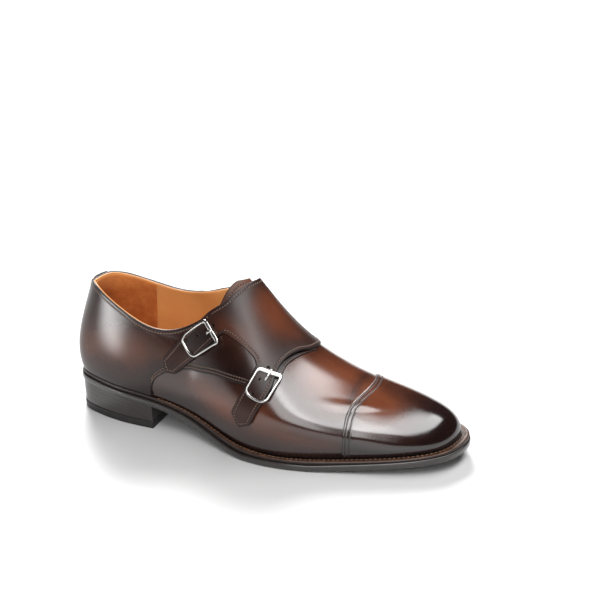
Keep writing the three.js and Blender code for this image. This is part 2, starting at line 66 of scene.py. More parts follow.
# ---- the last ----
COLUMNS = "latF medF zf xt latT medT zt latB medB r1 latQ medQ r2 edge zs".split()
STATIONS = [
    [0, 0, 32.5, 20.4, 0, 0, 137, 9.8, 9.8, 0.27, 0.28, 0.28, 0.44, 1.3, 24.1],
    [14.9, 15.5, 32.2, 24, 8.5, 9.5, 139, 9.6, 9, 0.28, 0.28, 0.31, 0.44, 1.1, 23.9],
    [23.5, 26, 31.2, 32, 18, 19.5, 142, 8.3, 8, 0.28, 0.29, 0.31, 0.43, 1.1, 22.9],
    [30, 28.5, 29.3, 52, 22, 24, 143, 7, 6.5, 0.28, 0.2, 0.2, 0.44, 1.4, 20.9],
    [32.6, 26.5, 26.5, 81, 20, 22.5, 147, 6.4, 5, 0.27, 0.1, 0.09, 0.4, 1.5, 17.6],
    [38, 26.5, 19.2, 112.5, -3, 3, 138.5, 7, 5, 0.28, 0.5, 0.42, 0.15, 2, 9.4],
    [52, 33, 10.5, 144, -3, 3, 114.7, 8, 6, 0.36, 0.56, 0.43, 0.03, 3.2, 0.5],
    [54, 41, 8.2, 178.5, -2, 2, 75.2, 7, 7, 0.5, 0.7, 0.6, 0, 4.9, -0.8],
    [46, 42, 9.6, 222, -1, 1, 51.6, 6, 6, 0.52, 0.7, 0.66, 0, 5.6, 1.8],
    [38.2, 37, 12.2, 253.5, 0, 0, 43.2, 5, 5, 0.5, 0.66, 0.65, 0, 5.9, 4.9],
    [29.2, 28.3, 14.6, 276.5, 0, 0, 36.8, 4, 4, 0.5, 0.62, 0.61, 0, 6.2, 7.3],
    [17.2, 15.1, 16.9, 291, 0, 0, 31, 1.5, 1.5, 0.52, 0.6, 0.6, 0, 6.6, 8.9],
    [0, 0, 18.8, 298.3, 0, 0, 18.8, 0, 0, 0.52, 0.6, 0.6, 0, 7.3, 10],
]
TOPLINE_COLUMNS = "latK latV medK medV".split()
TOPLINE = [
    [0, 0.705, 0, 0.705],
    [1, 0.715, 0.95, 0.703],
    [2.03, 0.682, 1.95, 0.659],
    [3.2, 0.572, 3.04, 0.614],
    [4.4, 0.48, 4.25, 0.57],
    [5.47, 0.66, 5.68, 0.7],
    [6, 1, 6, 1],
]
THROAT = 6.0
RIDGE_START = 5
RIDGE_BLEND = (4.2, 5.2)  # stations where the head line passes over to the instep ridge
LEAN_BLEND = (3, 5)  # stations where the wall's forward lean fades
PHANTOMS = 4  # rows added past each end of a column
SPLINE_PASSES = 40
HALVINGS = 40
LOCATE_STEPS = 30


def smooth(a, b, x):
    t = np.clip((np.asarray(x, float) - a) / (b - a), 0, 1)
    return t * t * t * (10 - 15 * t + 6 * t * t)


def coefficients(values):
    fixed = np.array(values, float)
    c = fixed.copy()
    for _ in range(SPLINE_PASSES):
        c[1:-1] = (6 * fixed[1:-1] - c[:-2] - c[2:]) / 4
    return c


def evaluate(c, at):
    i = np.clip(np.floor(at).astype(int), 1, len(c) - 3)
    f = at - i
    g = 1 - f
    return (c[i - 1] * g**3 + c[i] * (3 * f**3 - 6 * f**2 + 4)
            + c[i + 1] * (-3 * f**3 + 3 * f**2 + 3 * f + 1) + c[i + 2] * f**3) / 6


def column(own, other, heel_sign, far_sign, far_centre=0):
    """A smooth function through one column of a table, carried on past both of its ends."""
    before = [heel_sign * v for v in other[1:PHANTOMS + 1][::-1]]
    after = [2 * far_centre + far_sign * v for v in other[-PHANTOMS - 1:-1][::-1]]
    c = coefficients([*before, *own, *after])
    return lambda at: evaluate(c, np.asarray(at, float) + PHANTOMS)


def pick(rows, columns, name):
    return [row[columns.index(name)] for row in rows]


def station(name):
    return pick(STATIONS, COLUMNS, name)


def make_side(own, other, sign):
    """One side of the last: outer (sign -1) or inner (sign 1)."""
    half = (FEATHER_TIP - FEATHER_BACK) / 2
    feather_x = [FEATHER_BACK + half * (1 - math.cos(math.pi * k / TIP)) for k in range(len(STATIONS))]
    height = [top - low for top, low in zip(station("zt"), station("zf"))]

    def paired(name):
        return column(station(own + name), station(other + name), 1, 1)

    def across(name):
        own_side = [sign * v for v in station(own + name)]
        other_side = [-sign * v for v in station(other + name)]
        return column(own_side, other_side, 1, 1)

    def top(name, *signs):
        rows = (pick(TOPLINE, TOPLINE_COLUMNS, side + name) for side in (own, other))
        return column(*rows, *signs)

    shared = {name: column(station(name), station(name), 1, 1)
              for name in ("zf", "xt", "r1", "r2", "edge", "zs")}
    return SimpleNamespace(
        sign=sign, xf=column(feather_x, feather_x, 1, 1), yf=across("F"), yt=across("T"),
        height=column(height, height, 1, -1), bulge=paired("B"), q=paired("Q"),
        top_k=top("K", -1, 1), top_v=top("V", 1, -1, 1), **shared)


OUTER = make_side("lat", "med", -1)
INNER = make_side("med", "lat", 1)
RIDGE_ROWS = station("medT")[RIDGE_START:]
RIDGE = coefficients([RIDGE_ROWS[0]] * PHANTOMS + RIDGE_ROWS + [0, 0, 0, 1])


def ridge_y(k):
    return evaluate(RIDGE, np.maximum(k - RIDGE_START, -1) + PHANTOMS)


def unit(a):
    return a / np.maximum(np.linalg.norm(a, axis=-1, keepdims=True), 1e-12)


def plan_normal(s, k):
    """Outward direction of the feather line in plan."""
    e = 0.001
    k = np.asarray(k, float)
    dx = s.xf(k + e) - s.xf(k - e)
    dy = s.yf(k + e) - s.yf(k - e)
    n = unit(np.stack([-s.sign * dy, s.sign * dx], -1))
    return np.where((k < e)[..., None], [-1.0, 0.0], n)


def last_point(s, k, v):
    k, v = np.broadcast_arrays(np.asarray(k, float), np.asarray(v, float))
    h = s.height(k)
    on_ridge = smooth(*RIDGE_BLEND, k)
    foot = np.stack([s.xf(k), s.yf(k), s.zf(k)], -1)
    head = np.stack([s.xt(k), s.yt(k) * (1 - on_ridge) + ridge_y(k) * on_ridge, foot[..., 2] + h], -1)
    n = plan_normal(s, k) * s.bulge(k)[..., None]
    c1 = foot + np.stack([n[..., 0], n[..., 1], s.r1(k) * h], -1)
    q = s.q(k)
    lean = (foot[..., 0] - head[..., 0]) * q * (1 - smooth(*LEAN_BLEND, k))
    c2 = head + np.stack([lean, (foot[..., 1] - head[..., 1]) * q, -s.r2(k) * h], -1)
    t = v[..., None]
    return (1 - t)**3 * foot + 3 * (1 - t)**2 * t * c1 + 3 * (1 - t) * t**2 * c2 + t**3 * head


def last_normal(s, k, v):
    e = 0.004
    k, v = np.broadcast_arrays(np.asarray(k, float), np.asarray(v, float))
    kk = np.minimum(k, TIP - 0.02)
    vv = np.clip(v, e, 1 - e)
    along = last_point(s, kk + e, vv) - last_point(s, kk - e, vv)
    up = last_point(s, kk, vv + e) - last_point(s, kk, vv - e)
    n = unit(np.cross(along, up) * -s.sign)
    flat = (v > 1 - 2 * e) | (k < 2 * e)
    n[..., 1] = np.where(flat, 0, n[..., 1])
    return unit(n)


def skin(s, k, v, offset):
    p = last_point(s, k, v) + last_normal(s, k, v) * np.asarray(offset, float)[..., None]
    p[..., 2] = np.maximum(p[..., 2], s.zf(k))
    return p


def place(k, girth, offset=0.0):
    """A point off the last's surface, by station and girth."""
    k, girth, offset = np.broadcast_arrays(*(np.asarray(a, float) for a in (k, girth, offset)))
    v = 1 - np.clip(np.abs(girth), 0, 1)
    return np.where((girth < 0)[..., None], skin(INNER, k, v, offset), skin(OUTER, k, v, offset))


def topline(s, u):
    """Station and girth of the collar's edge."""
    return np.stack([s.top_k(u), s.sign * -(1 - s.top_v(u))], -1)


# ---- soft creases and hollows: a line from one place to another, mm wide, mm deep ----
STATION_MM = 25.0
GIRTH_MM = 115.0
CREASES = [
    # station, girth -> station, girth, width, depth
    (3.9, 0.52, 4.5, 0.60, 1.6, 0.22),
    (4.1, 0.545, 4.75, 0.60, 1.4, 0.20),
    (3.6, 0.50, 4.15, 0.60, 1.8, 0.16),
    (4.6, 0.50, 5.0, 0.70, 2.2, 0.14),
    (6.4, 0.74, 8.25, 0.69, 16.0, -3.5),
    (7.95, 0.35, 8.2, 0.44, 14.0, -1.7),
    (7.40, -0.25, 7.80, -0.80, 3.5, 0.20),
    (7.60, -0.05, 8.0, -0.60, 4.0, 0.15),
    (5.2, 0.30, 6.3, 0.40, 5.0, 0.25),
    (5.4, -0.30, 6.4, -0.45, 6.0, 0.30),
    (2.6, 0.92, 3.7, 0.80, 6.0, 0.25),
    (2.6, -0.92, 3.7, -0.80, 6.0, 0.25),
]


def relief(k, girth):
    total = np.zeros(np.broadcast(k, girth).shape)
    for k0, g0, k1, g1, width, depth in CREASES:
        ax, ay = (k1 - k0) * STATION_MM, (g1 - g0) * GIRTH_MM
        px, py = (k - k0) * STATION_MM, (girth - g0) * GIRTH_MM
        t = np.clip((px * ax + py * ay) / (ax * ax + ay * ay), 0, 1)
        distance2 = (px - t * ax)**2 + (py - t * ay)**2
        total -= depth * np.exp(-distance2 / width**2) * np.sin(math.pi * (0.15 + 0.7 * t))
    return total


# ---- burnish: where the brown stays warm; station, girth, size in stations, size in girth, strength ----
WARM = [
    (7.75, 0.20, 0.75, 0.30, 1.0),
    (7.35, 0.85, 0.9, 0.10, 0.45),
    (8.75, 0.30, 0.75, 0.26, 0.85),
    (7.8, -0.45, 0.8, 0.30, 0.8),
    (8.9, -0.40, 0.7, 0.25, 0.6),
    (6.35, 0.10, 0.55, 0.16, 0.9),
    (6.25, 0.42, 0.45, 0.10, 0.3),
    (5.6, 0.42, 0.5, 0.07, 0.35),
    (5.55, 0.81, 0.75, 0.09, 0.9),
    (6.6, 0.72, 0.5, 0.10, 0.45),
    (3.2, 0.66, 1.0, 0.16, 0.75),
    (1.6, 0.72, 0.8, 0.16, 0.55),
    (4.7, 0.66, 0.5, 0.06, 0.45),
    (3.2, -0.66, 1.2, 0.14, 0.7),
    (5.6, -0.50, 0.8, 0.13, 0.75),
    (5.4, -0.84, 1.0, 0.08, 0.6),
    (0.0, 0.62, 0.8, 0.14, 0.4),
]
WARM_BASE = 0.15


def warmth(k, girth):
    total = np.zeros(np.broadcast(k, girth).shape)
    for k0, g0, dk, dg, strength in WARM:
        total += strength * np.exp(-((k - k0) / dk)**2 - ((girth - g0) / dg)**2)
    return np.clip(total + WARM_BASE * (1 - smooth(9.5, 11.2, k)), 0, 1)


# ---- meshes ----
def add_object(name, data):
    piece = bpy.data.objects.new(name, data)
    bpy.context.scene.collection.objects.link(piece)
    return piece


def add_mesh(name, points, faces, material, floats=None):
    """A smooth mesh riding on the shoe; points in mm, floats are per-point attributes for its material."""
    mesh = bpy.data.meshes.new(name)
    places = (np.asarray(points) - [HEEL_REST_X, 0, 0]) * MM
    mesh.from_pydata(places.tolist(), [], [list(f) for f in faces])
    for key, values in (floats or {}).items():
        data = mesh.attributes.new(key, "FLOAT", "POINT").data
        data.foreach_set("value", np.asarray(values, np.float32))
    made = bmesh.new()
    made.from_mesh(mesh)
    bmesh.ops.recalc_face_normals(made, faces=made.faces)
    made.to_mesh(mesh)
    made.free()
    mesh.shade_smooth()
    mesh.materials.append(material)
    piece = add_object(name, mesh)
    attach(piece, "root")
    return piece


def grid_quads(rows, columns):
    i, j = np.meshgrid(np.arange(rows - 1), np.arange(columns - 1), indexing="ij")
    a = i * columns + j
    return np.stack([a, a + columns, a + columns + 1, a + 1], -1).reshape(-1, 4)


WELD_GRID = 400  # steps per mm; points on the same step are one


def weld(points, faces):
    """Joins equal points; gives the index of each kept point, and the faces that don't close up."""
    keys = np.round(points * WELD_GRID).astype(np.int64)
    _, kept, index = np.unique(keys, axis=0, return_index=True, return_inverse=True)
    index = index.reshape(-1)
    joined = []
    for face in index[faces].tolist():
        ring = [a for i, a in enumerate(face) if a != face[i - 1]]
        if len(set(ring)) == len(ring) and len(ring) > 2:
            joined.append(ring)
    return kept, joined


ROLL_LIMIT = 0.45  # of the thickness, for the rounding of an edge
SUPPORT = 2.5  # roundings from a skin to the ring that keeps the wall's shading even
SUPPORT_LIMIT = 0.48


def rolled_shell(outer, inner, faces, roll):
    """Closes two skins with the same faces by a rounded wall along every free edge.

    Gives points, faces and, for each point, the point of the outer skin that it comes from and whether
    it lies on the wall.
    """
    edges = {(a, b) for f in faces for a, b in zip(f, f[1:] + f[:1])}
    after = {a: b for a, b in edges if (b, a) not in edges}
    before = {b: a for a, b in after.items()}
    rim = [a for a in after if a in before]
    n = len(outer)
    order = {a: i for i, a in enumerate(rim)}
    thick = outer[rim] - inner[rim]
    depth = np.linalg.norm(thick, axis=-1)[:, None]
    normal = unit(thick)
    out = unit(np.cross(outer[[after[a] for a in rim]] - outer[[before[a] for a in rim]], normal))
    r = np.minimum(roll, ROLL_LIMIT * depth)
    turn = math.sqrt(0.5)
    deep = np.minimum(SUPPORT * r, SUPPORT_LIMIT * depth)
    rings = [outer[rim] + out * r * turn - normal * r * (1 - turn), outer[rim] + (out - normal) * r,
             outer[rim] + out * r - normal * deep, inner[rim] + out * r + normal * deep,
             inner[rim] + (out + normal) * r]
    points = np.concatenate([outer, inner, *rings])
    source = np.concatenate([np.arange(n), np.arange(n), *([rim] * len(rings))])
    wall = (np.arange(len(points)) >= 2 * n).astype(float)
    all_faces = list(faces) + [[n + a for a in reversed(f)] for f in faces]

    def rung(a):
        return [a] + [2 * n + i * len(rim) + order[a] for i in range(len(rings))] + [n + a]

    for a in rim:
        if after[a] not in order:
            continue
        left, right = rung(a), rung(after[a])
        for i in range(len(left) - 1):
            all_faces.append([right[i], left[i], left[i + 1], right[i + 1]])
    return points, all_faces, source, wall


def facing(points, outward, quads):
    """The quads, turned so that they face outward."""
    p = points[quads]
    across = np.cross(p[:, 2] - p[:, 0], p[:, 3] - p[:, 1])
    if np.sum(across * outward[quads[:, 0]]) < 0:
        return quads[:, ::-1]
    return quads


def sheet(patches, top, low):
    """Outer and inner points of patches of (station, girth) places, and their welded faces."""
    outer, inner, quads, places, first = [], [], [], [], 0
    for patch in patches:
        k, girth = patch[..., 0], patch[..., 1]
        bump = relief(k, girth)
        high = place(k, girth, top(k, girth) + bump).reshape(-1, 3)
        deep = place(k, girth, low(k, girth) + bump).reshape(-1, 3)
        quads.append(facing(high, high - deep, grid_quads(*k.shape)) + first)
        outer.append(high)
        inner.append(deep)
        places.append(patch.reshape(-1, 2))
        first += len(high)
    outer, inner, places = (np.concatenate(a) for a in (outer, inner, places))
    kept, faces = weld(outer, np.concatenate(quads))
    return outer[kept], inner[kept], places[kept], faces


GROOVE_DEPTH = 0.07
GROOVE_WIDTH = 0.45
SHADE_WIDTH = 2.4 * GROOVE_WIDTH


def near_lines(points, lines, top):
    """How close each point is to a stitch line, 1 on it: within the groove, and in the shade beside it."""
    path = [place(*line.T, top(*line.T) + relief(*line.T)) for line in lines]
    dense = [a + (b - a) * f for run in path for a, b in zip(run[:-1], run[1:]) for f in (0, 0.25, 0.5, 0.75)]
    tree = KDTree(len(dense))
    for i, p in enumerate(dense):
        tree.insert(p, i)
    tree.balance()
    distance = np.array([tree.find(p)[2] for p in points])
    return np.exp(-(distance / GROOVE_WIDTH)**2), np.exp(-(distance / SHADE_WIDTH)**2)


def leather(name, patches, top, low, material, roll=0.45, dark=None, lines=()):
    """A piece of leather on the last.

    dark(k, girth) takes warmth away near edges and seams, and paints shade where a piece asks for it; lines
    are the stitch rows, which are pressed in, with painted shade in and beside their grooves.
    """
    outer, inner, places, faces = sheet(patches, top, low)
    pressed, shade = np.zeros(len(outer)), np.zeros(len(outer))
    if len(lines):
        pressed, shade = near_lines(outer, lines, top)
        outer = outer - unit(outer - inner) * (GROOVE_DEPTH * pressed)[:, None]
    points, faces, source, wall = rolled_shell(outer, inner, faces, roll)
    k, girth = places[:, 0], places[:, 1]
    warm = warmth(k, girth)
    if dark is not None:
        warm = warm * (1 - dark(k, girth))
    # painted shade in and beside the stitch grooves, carried with the ink of the cut edges in the "cut"
    # attribute
    painted_seam_shade = np.maximum(0.7 * pressed, 0.15 * shade)[source]
    return add_mesh(name, points, faces, material,
                    {"warm": warm[source], "cut": np.maximum(wall, painted_seam_shade)})


# ---- laying out patches ----
def through(points, t):
    """A smooth line through given points, t from 0 to 1."""
    p = np.array(points, float)
    n = len(p) - 1
    x = np.clip(np.asarray(t, float), 0, 1) * n
    i = np.minimum(x.astype(int), n - 1)
    w = (x - i)[..., None]
    p0, p1, p2, p3 = p[np.maximum(i - 1, 0)], p[i], p[i + 1], p[np.minimum(i + 2, n)]
    v0, v1 = (p2 - p0) / 2, (p3 - p1) / 2
    return (2 * p1 - 2 * p2 + v0 + v1) * w**3 + (-3 * p1 + 3 * p2 - 2 * v0 - v1) * w**2 + v0 * w + p1


def distances(points):
    """Length along a line of points, up to each of them."""
    steps = np.linalg.norm(np.diff(points, axis=0), axis=-1)
    return np.concatenate([[0], np.cumsum(steps)])


def lengths(places):
    """The same for a line of (station, girth) places, mm."""
    return distances(place(places[..., 0], places[..., 1]))


def marks(total, near, far, pitch=1.0, count=None):
    """Distances from 0 to total: the near ones, the far ones from the end, and even steps between."""
    squeeze = min(1.0, total / (2.0 * max(near + far) + pitch))
    near = [d * squeeze for d in near]
    far = [total - d * squeeze for d in far][::-1]
    count = count or max(int(round((far[0] - near[-1]) / pitch)), 1)
    return near[:-1] + list(np.linspace(near[-1], far[0], count + 1)) + far[1:]


SAMPLES = np.linspace(0, 1, 161)
EDGE_STEPS = [0, 0.45, 0.9, 1.3, 1.7, 2.1, 2.5, 2.9, 3.4, 3.8, 4.2, 4.6, 5.0, 5.8]


def rows_along(chart, near, far, pitch):
    """Values of t along a chart with given distances from both ends, measured on its middle line."""
    t = np.linspace(0, 1, 1201)
    run = lengths(chart(t, np.full_like(t, 0.5)))
    return np.interp(marks(run[-1], near, far, pitch), run, t)


def crossing(chart, t, c0, c1):
    """Values of c from c0 to c1 at one t, and how far each is from the first, mm."""
    c = c0 + (c1 - c0) * SAMPLES
    return c, lengths(chart(np.full_like(c, t), c))


def patch_of(chart, rows, bands):
    """A grid of places: for each t in rows, columns at fixed distances in bands (c0, c1, steps, middle)."""
    grid = []
    for t in rows:
        line = []
        for c0, c1, steps, middle in bands:
            c, run = crossing(chart, t, c0, c1)
            at = np.interp(marks(run[-1], steps, steps, count=middle), run, c)
            line.extend(at[1:] if line else at)
        grid.append(chart(np.full(len(line), t), np.array(line)))
    return np.array(grid)


def line_off(chart, rows, c0, c1, distance):
    """Places at a distance from the chart's line c0, measured towards c1."""
    out = []
    for t in rows:
        c, run = crossing(chart, t, c0, c1)
        out.append(chart(np.array([t]), np.interp([distance], run, c))[0])
    return np.array(out)


def mix(a, b, t):
    a, b, t = (np.asarray(value, float) for value in (a, b, t))
    return a + (b - a) * t[..., None]


def ruled(near, far):
    """A chart between two lines of places: t runs along them, c from the first to the second."""
    return lambda t, c: mix(through(near, t), through(far, t), c)


def swapped(chart):
    return lambda t, c: chart(c, t)


# ---- the seam of the quarters: from the feather behind the arch up to the straps ----
FEATHER_RUN = [[0, 1], [0.75, 1], [1.5, 1], [2.25, 1], [3, 1], [3.6, 1], [3.9, 0.985]]
SEAM_RISE = [[3.88, 0.95], [3.9, 0.905], [3.98, 0.848], [4.12, 0.805], [4.26, 0.775], [4.4, 0.761]]
OUTER_SEAM = [[4.58, 0.738], [4.84, 0.718], [5.1, 0.705], [5.36, 0.685], [5.6, 0.668], [5.82, 0.655],
              [6.03, 0.641], [6.17, 0.631], [6.35, 0.618], [6.5, 0.608]]
COLLAR_AT = [0, 0.6, 1.2, 1.8, 2.4, 2.9, 3.25, 3.4, 3.55, 3.7, 3.85, 3.98, 4.1]

# Inner quarter and instep panel: front (or lower) edge and top edge, row by row across the instep.
PANEL_ROWS = [
    [[4.7, -0.72], [4.55, -0.425]],
    [[5.3, -0.67], [5.15, -0.385]],
    [[5.9, -0.665], [5.6, -0.325]],
    [[6.3, -0.676], [5.78, -0.26]],
    [[6.42, -0.64], [5.84, -0.22]],
    [[6.57, -0.58], [5.88, -0.185]],
    [[6.87, -0.42], [5.95, -0.13]],
    [[7.17, -0.22], [5.99, -0.06]],
    [[7.22, 0], [6.0, 0.01]],
    [[7.06, 0.15], [5.93, 0.09]],
    [[6.9, 0.3], [5.8, 0.19]],
    [[6.82, 0.39], [5.58, 0.31]],
    [[6.78, 0.46], [5.24, 0.405]],
]
PANEL_COUNT = len(COLLAR_AT) + len(PANEL_ROWS) - 1
CORNER_ROW = 3.4  # the panel's lower front corner on the inner side, in rows
CUT_EDGE = [[6.42, 0.485], [6.33, 0.456], [5.99, 0.449], [5.68, 0.451], [5.56, 0.474]]
STRAP_SHARE = 0.25  # of the panel's end, for each strap
# Straps: rows of [toe-side edge, ankle-side edge] from the panel on; the last is the tip's shoulder.
STRAPS = {
    "upper": {"rows": [[[5.3, 0.555], [4.95, 0.485]], [[5.0, 0.638], [4.58, 0.565]],
                       [[4.74, 0.70], [4.4, 0.62]], [[4.49, 0.765], [4.21, 0.685]]], "tip": [4.29, 0.768]},
    "lower": {"rows": [[[6.73, 0.545], [6.34, 0.56]], [[6.6, 0.65], [6.19, 0.66]],
                       [[6.49, 0.72], [6.08, 0.73]], [[6.32, 0.825], [5.97, 0.795]]], "tip": [6.1, 0.86]},
}
STRAP_MIDDLE = 8  # columns between the close ones along a strap's edges
SHOULDER = 0.86  # share of a strap's chart before its pointed tip
TIP_WIDTH = 0.08  # of the shoulder's, at the very tip
END_BLEND = 0.62  # of the panel's own rows, from where its end takes the straps' shape
TONGUE_EDGE = [[5.8, -0.33], [5.78, -0.22], [5.86, -0.1], [5.91, -0.01], [5.83, 0.07], [5.69, 0.14],
               [5.5, 0.26], [5.34, 0.38]]
TONGUE_END = 7.2
TONGUE_NARROWING = 0.25
UNDERLAY = [[7.27, -0.02], [7.2, 0.074], [7.05, 0.231], [6.97, 0.311], [6.91, 0.401], [6.83, 0.505],
            [6.8, 0.56]]
UNDERLAY_WIDTH = 0.14  # stations
HEEL_TAB = [[0.0, -0.53], [0.28, -0.51], [0.58, -0.45], [0.86, -0.37], [1.02, -0.295]]
CAP_STATION = 8.08
CAP_BOW = 0.25
CAP_BOW_GIRTH = 0.55


def outer_quarter_chart():
    low = FEATHER_RUN + SEAM_RISE + OUTER_SEAM
    along = np.array(COLLAR_AT + [4.25, 4.42, 4.58, 4.72, 4.85, 4.95])
    high = topline(OUTER, along).tolist() + [[5.6, 0.3], [5.8, 0.26], [5.95, 0.23], [6.1, 0.2]]
    return ruled(low, high)


def panel_chart():
    low = [[k, -g] for k, g in FEATHER_RUN + SEAM_RISE] + [row[0] for row in PANEL_ROWS]
    high = topline(INNER, np.array(COLLAR_AT)).tolist() + [row[1] for row in PANEL_ROWS]
    plain = ruled(low, high)
    end_front, end_top = low[-1], high[-1]
    first = len(COLLAR_AT) + END_BLEND * (len(PANEL_ROWS) - 1)

    def end_line(c):
        cut = through(CUT_EDGE, (c - STRAP_SHARE) / (1 - 2 * STRAP_SHARE))
        front = mix(end_front, CUT_EDGE[0], c / STRAP_SHARE)
        top = mix(CUT_EDGE[-1], end_top, (c - 1 + STRAP_SHARE) / STRAP_SHARE)
        c = c[..., None]
        return np.where(c < STRAP_SHARE, front, np.where(c > 1 - STRAP_SHARE, top, cut))

    def chart(t, c):
        t, c = np.asarray(t, float), np.asarray(c, float)
        weight = smooth(first / PANEL_COUNT, 1, t)[..., None]
        return plain(t, c) + (end_line(c) - mix(end_front, end_top, c)) * weight
    return chart


def strap_chart(strap, root_toe, root_ankle):
    toe, ankle = zip([root_toe, root_ankle], *strap["rows"])
    body = ruled(toe, ankle)
    tip = np.array(strap["tip"])

    def chart(t, c):
        t, c = np.asarray(t, float), np.asarray(c, float)
        whole = body(np.minimum(t / SHOULDER, 1), c)
        point = tip + (whole - tip) * TIP_WIDTH
        return mix(whole, point, np.clip((t - SHOULDER) / (1 - SHOULDER), 0, 1))
    return chart


# ---- heights over the last, mm ----
def level(height):
    return lambda k, girth: np.full_like(k, height)


UNDERLAY_TOP = level(0.8)
CAP_TOP = level(1.2)
TONGUE_TOP = level(-3.2)


def quarter_top(k, girth):
    return 0.75 + 0.3 * smooth(2.5, 4.2, k) + 0 * girth


def panel_top(k, girth):
    return quarter_top(k, girth) + 0.6 * smooth(4.2, 5.6, k) + 1.55 * smooth(-0.35, 0.15, girth)


def panel_low(k, girth):
    return 0.05 + 1.15 * smooth(-0.35, 0.15, girth) * smooth(4, 5, k)


def tab_top(k, girth):
    return 0.8 + 0.95 * smooth(0, 0.22, k)


# ---- materials ----
class Paint:
    """A material in the making; its nodes take sockets or plain values."""

    def __init__(self, name):
        self.material = bpy.data.materials.new(name)
        self.material.use_nodes = True
        self.tree = self.material.node_tree
        self.where = self.tree.nodes.new("ShaderNodeTexCoord").outputs["Object"]

    def feed(self, socket, value):
        if isinstance(value, bpy.types.NodeSocket):
            self.tree.links.new(value, socket)
        else:
            socket.default_value = value

    def fill(self, node, inputs):
        for key, value in inputs.items():
            self.feed(node.inputs[key.replace("_", " ")], value)
        return node

    def node(self, kind, **inputs):
        return self.fill(self.tree.nodes.new("ShaderNode" + kind), inputs)

    def noise(self, scale, detail=3, roughness=0.6):
        made = self.node("TexNoise", Vector=self.where, Scale=scale, Detail=detail, Roughness=roughness)
        return made.outputs["Fac"]

    def calc(self, operation, *values, clamp=False):
        made = self.node("Math")
        made.operation = operation
        made.use_clamp = clamp
        for socket, value in zip(made.inputs, values):
            self.feed(socket, value)
        return made.outputs["Value"]

    def ramp(self, fac, *stops):
        made = self.node("ValToRGB", Fac=fac)
        elements = made.color_ramp.elements
        while len(elements) < len(stops):
            elements.new(0.5)
        for element, (position, color) in zip(elements, stops):
            element.position = position
            element.color = (*color, 1)
        return made.outputs["Color"]

    def mix(self, fac, a, b):
        """Mixes two colours; they are the mix node's inputs 6 and 7, and its output 2."""
        made = self.node("Mix")
        made.data_type = "RGBA"
        for index, value in ((0, fac), (6, a), (7, b)):
            self.feed(made.inputs[index], value)
        return made.outputs[2]

    def bump(self, height, distance, strength, **onto):
        made = self.node("Bump", Height=height, Distance=distance, Strength=strength, **onto)
        return made.outputs["Normal"]

    def attribute(self, name):
        made = self.node("Attribute")
        made.attribute_name = name
        return made.outputs["Fac"]

    def done(self, **inputs):
        self.fill(self.tree.nodes["Principled BSDF"], inputs)
        return self.material


CALF_TONES = ((0.0100, 0.0038, 0.0033), (0.038, 0.0120, 0.0070), (0.125, 0.033, 0.0125))
QUARTER_TONES = ((0.008, 0.0034, 0.003), (0.028, 0.0095, 0.006), (0.085, 0.025, 0.011))
TONGUE_TONES = ((0.045, 0.016, 0.010), (0.10, 0.034, 0.018), (0.17, 0.055, 0.024))
# the ink colour of cut edges, also used as the painted shade along the stitch grooves
EDGE_INK_AND_GROOVE_SHADE = (0.007, 0.0045, 0.004, 1)
PORE_DEPTH = 0.00005  # metres


def calf_material(name, tones=CALF_TONES, roughness=0.19, grain=1.0, ior=1.75):
    """Burnished calf: warm where the attribute says, inked at cut edges and darkened by painted shade along
    the stitch grooves, with fine pores.
    """
    paint = Paint(name)
    clouds = paint.noise(70, 4)
    spread = paint.calc("MULTIPLY_ADD", clouds, 0.34, -0.17)
    speck = paint.calc("MULTIPLY_ADD", paint.noise(420), 0.16, -0.08)
    tone = paint.calc("ADD", paint.attribute("warm"), spread)
    tone = paint.calc("ADD", tone, speck, clamp=True)
    # cut carries the ink of the cut edges and the painted shade of the stitch grooves
    cut = paint.calc("MULTIPLY", paint.attribute("cut"), 1.6, clamp=True)
    color = paint.mix(cut, paint.ramp(tone, *zip((0.0, 0.38, 1.0), tones)), EDGE_INK_AND_GROOVE_SHADE)
    rough = paint.calc("MULTIPLY_ADD", clouds, 0.08, roughness - 0.04)
    rough = paint.calc("ADD", rough, paint.calc("MULTIPLY", cut, 0.35))
    pores = paint.node("TexVoronoi", Vector=paint.where, Scale=1500)
    normal = paint.bump(pores.outputs["Distance"], PORE_DEPTH * grain, 0.3)
    normal = paint.bump(paint.noise(1100, 2), PORE_DEPTH * grain, 0.25, Normal=normal)
    return paint.done(Base_Color=color, Roughness=rough, Normal=normal, IOR=ior)


def lining_material():
    paint = Paint("lining_leather")
    color = paint.ramp(paint.noise(45, 4, 0.55), (0.25, (0.60, 0.25, 0.075)), (0.75, (0.70, 0.33, 0.11)))
    normal = paint.bump(paint.noise(1300), 0.00006, 0.35)
    return paint.done(Base_Color=color, Normal=normal, Roughness=0.5)


def suede_material():
    """The heel grip: the lining's flesh side, brushed, with painted light: lighter towards the collar and
    darker deeper inside the shoe.
    """
    paint = Paint("heel_grip_suede")
    nap = paint.calc("MULTIPLY", paint.noise(260, 6, 0.7), 0.45)
    both = paint.calc("MULTIPLY_ADD", paint.noise(60, 3, 0.5), 0.7, nap)
    # painted light: lighter towards the collar, painted shade deeper inside the shoe
    lit = paint.calc("MULTIPLY", paint.attribute("warm"), 0.45)
    color = paint.ramp(paint.calc("ADD", both, lit, clamp=True), (0.3, (0.26, 0.07, 0.014)),
                       (0.62, (0.42, 0.12, 0.026)), (1.0, (0.66, 0.25, 0.07)))
    normal = paint.bump(paint.noise(1500, 4, 0.7), 0.00025, 0.8)
    return paint.done(Base_Color=color, Normal=normal, Roughness=0.95, Specular_IOR_Level=0.15,
                      Sheen_Weight=0.35, Sheen_Roughness=0.5, Sheen_Tint=(1.0, 0.6, 0.3, 1))


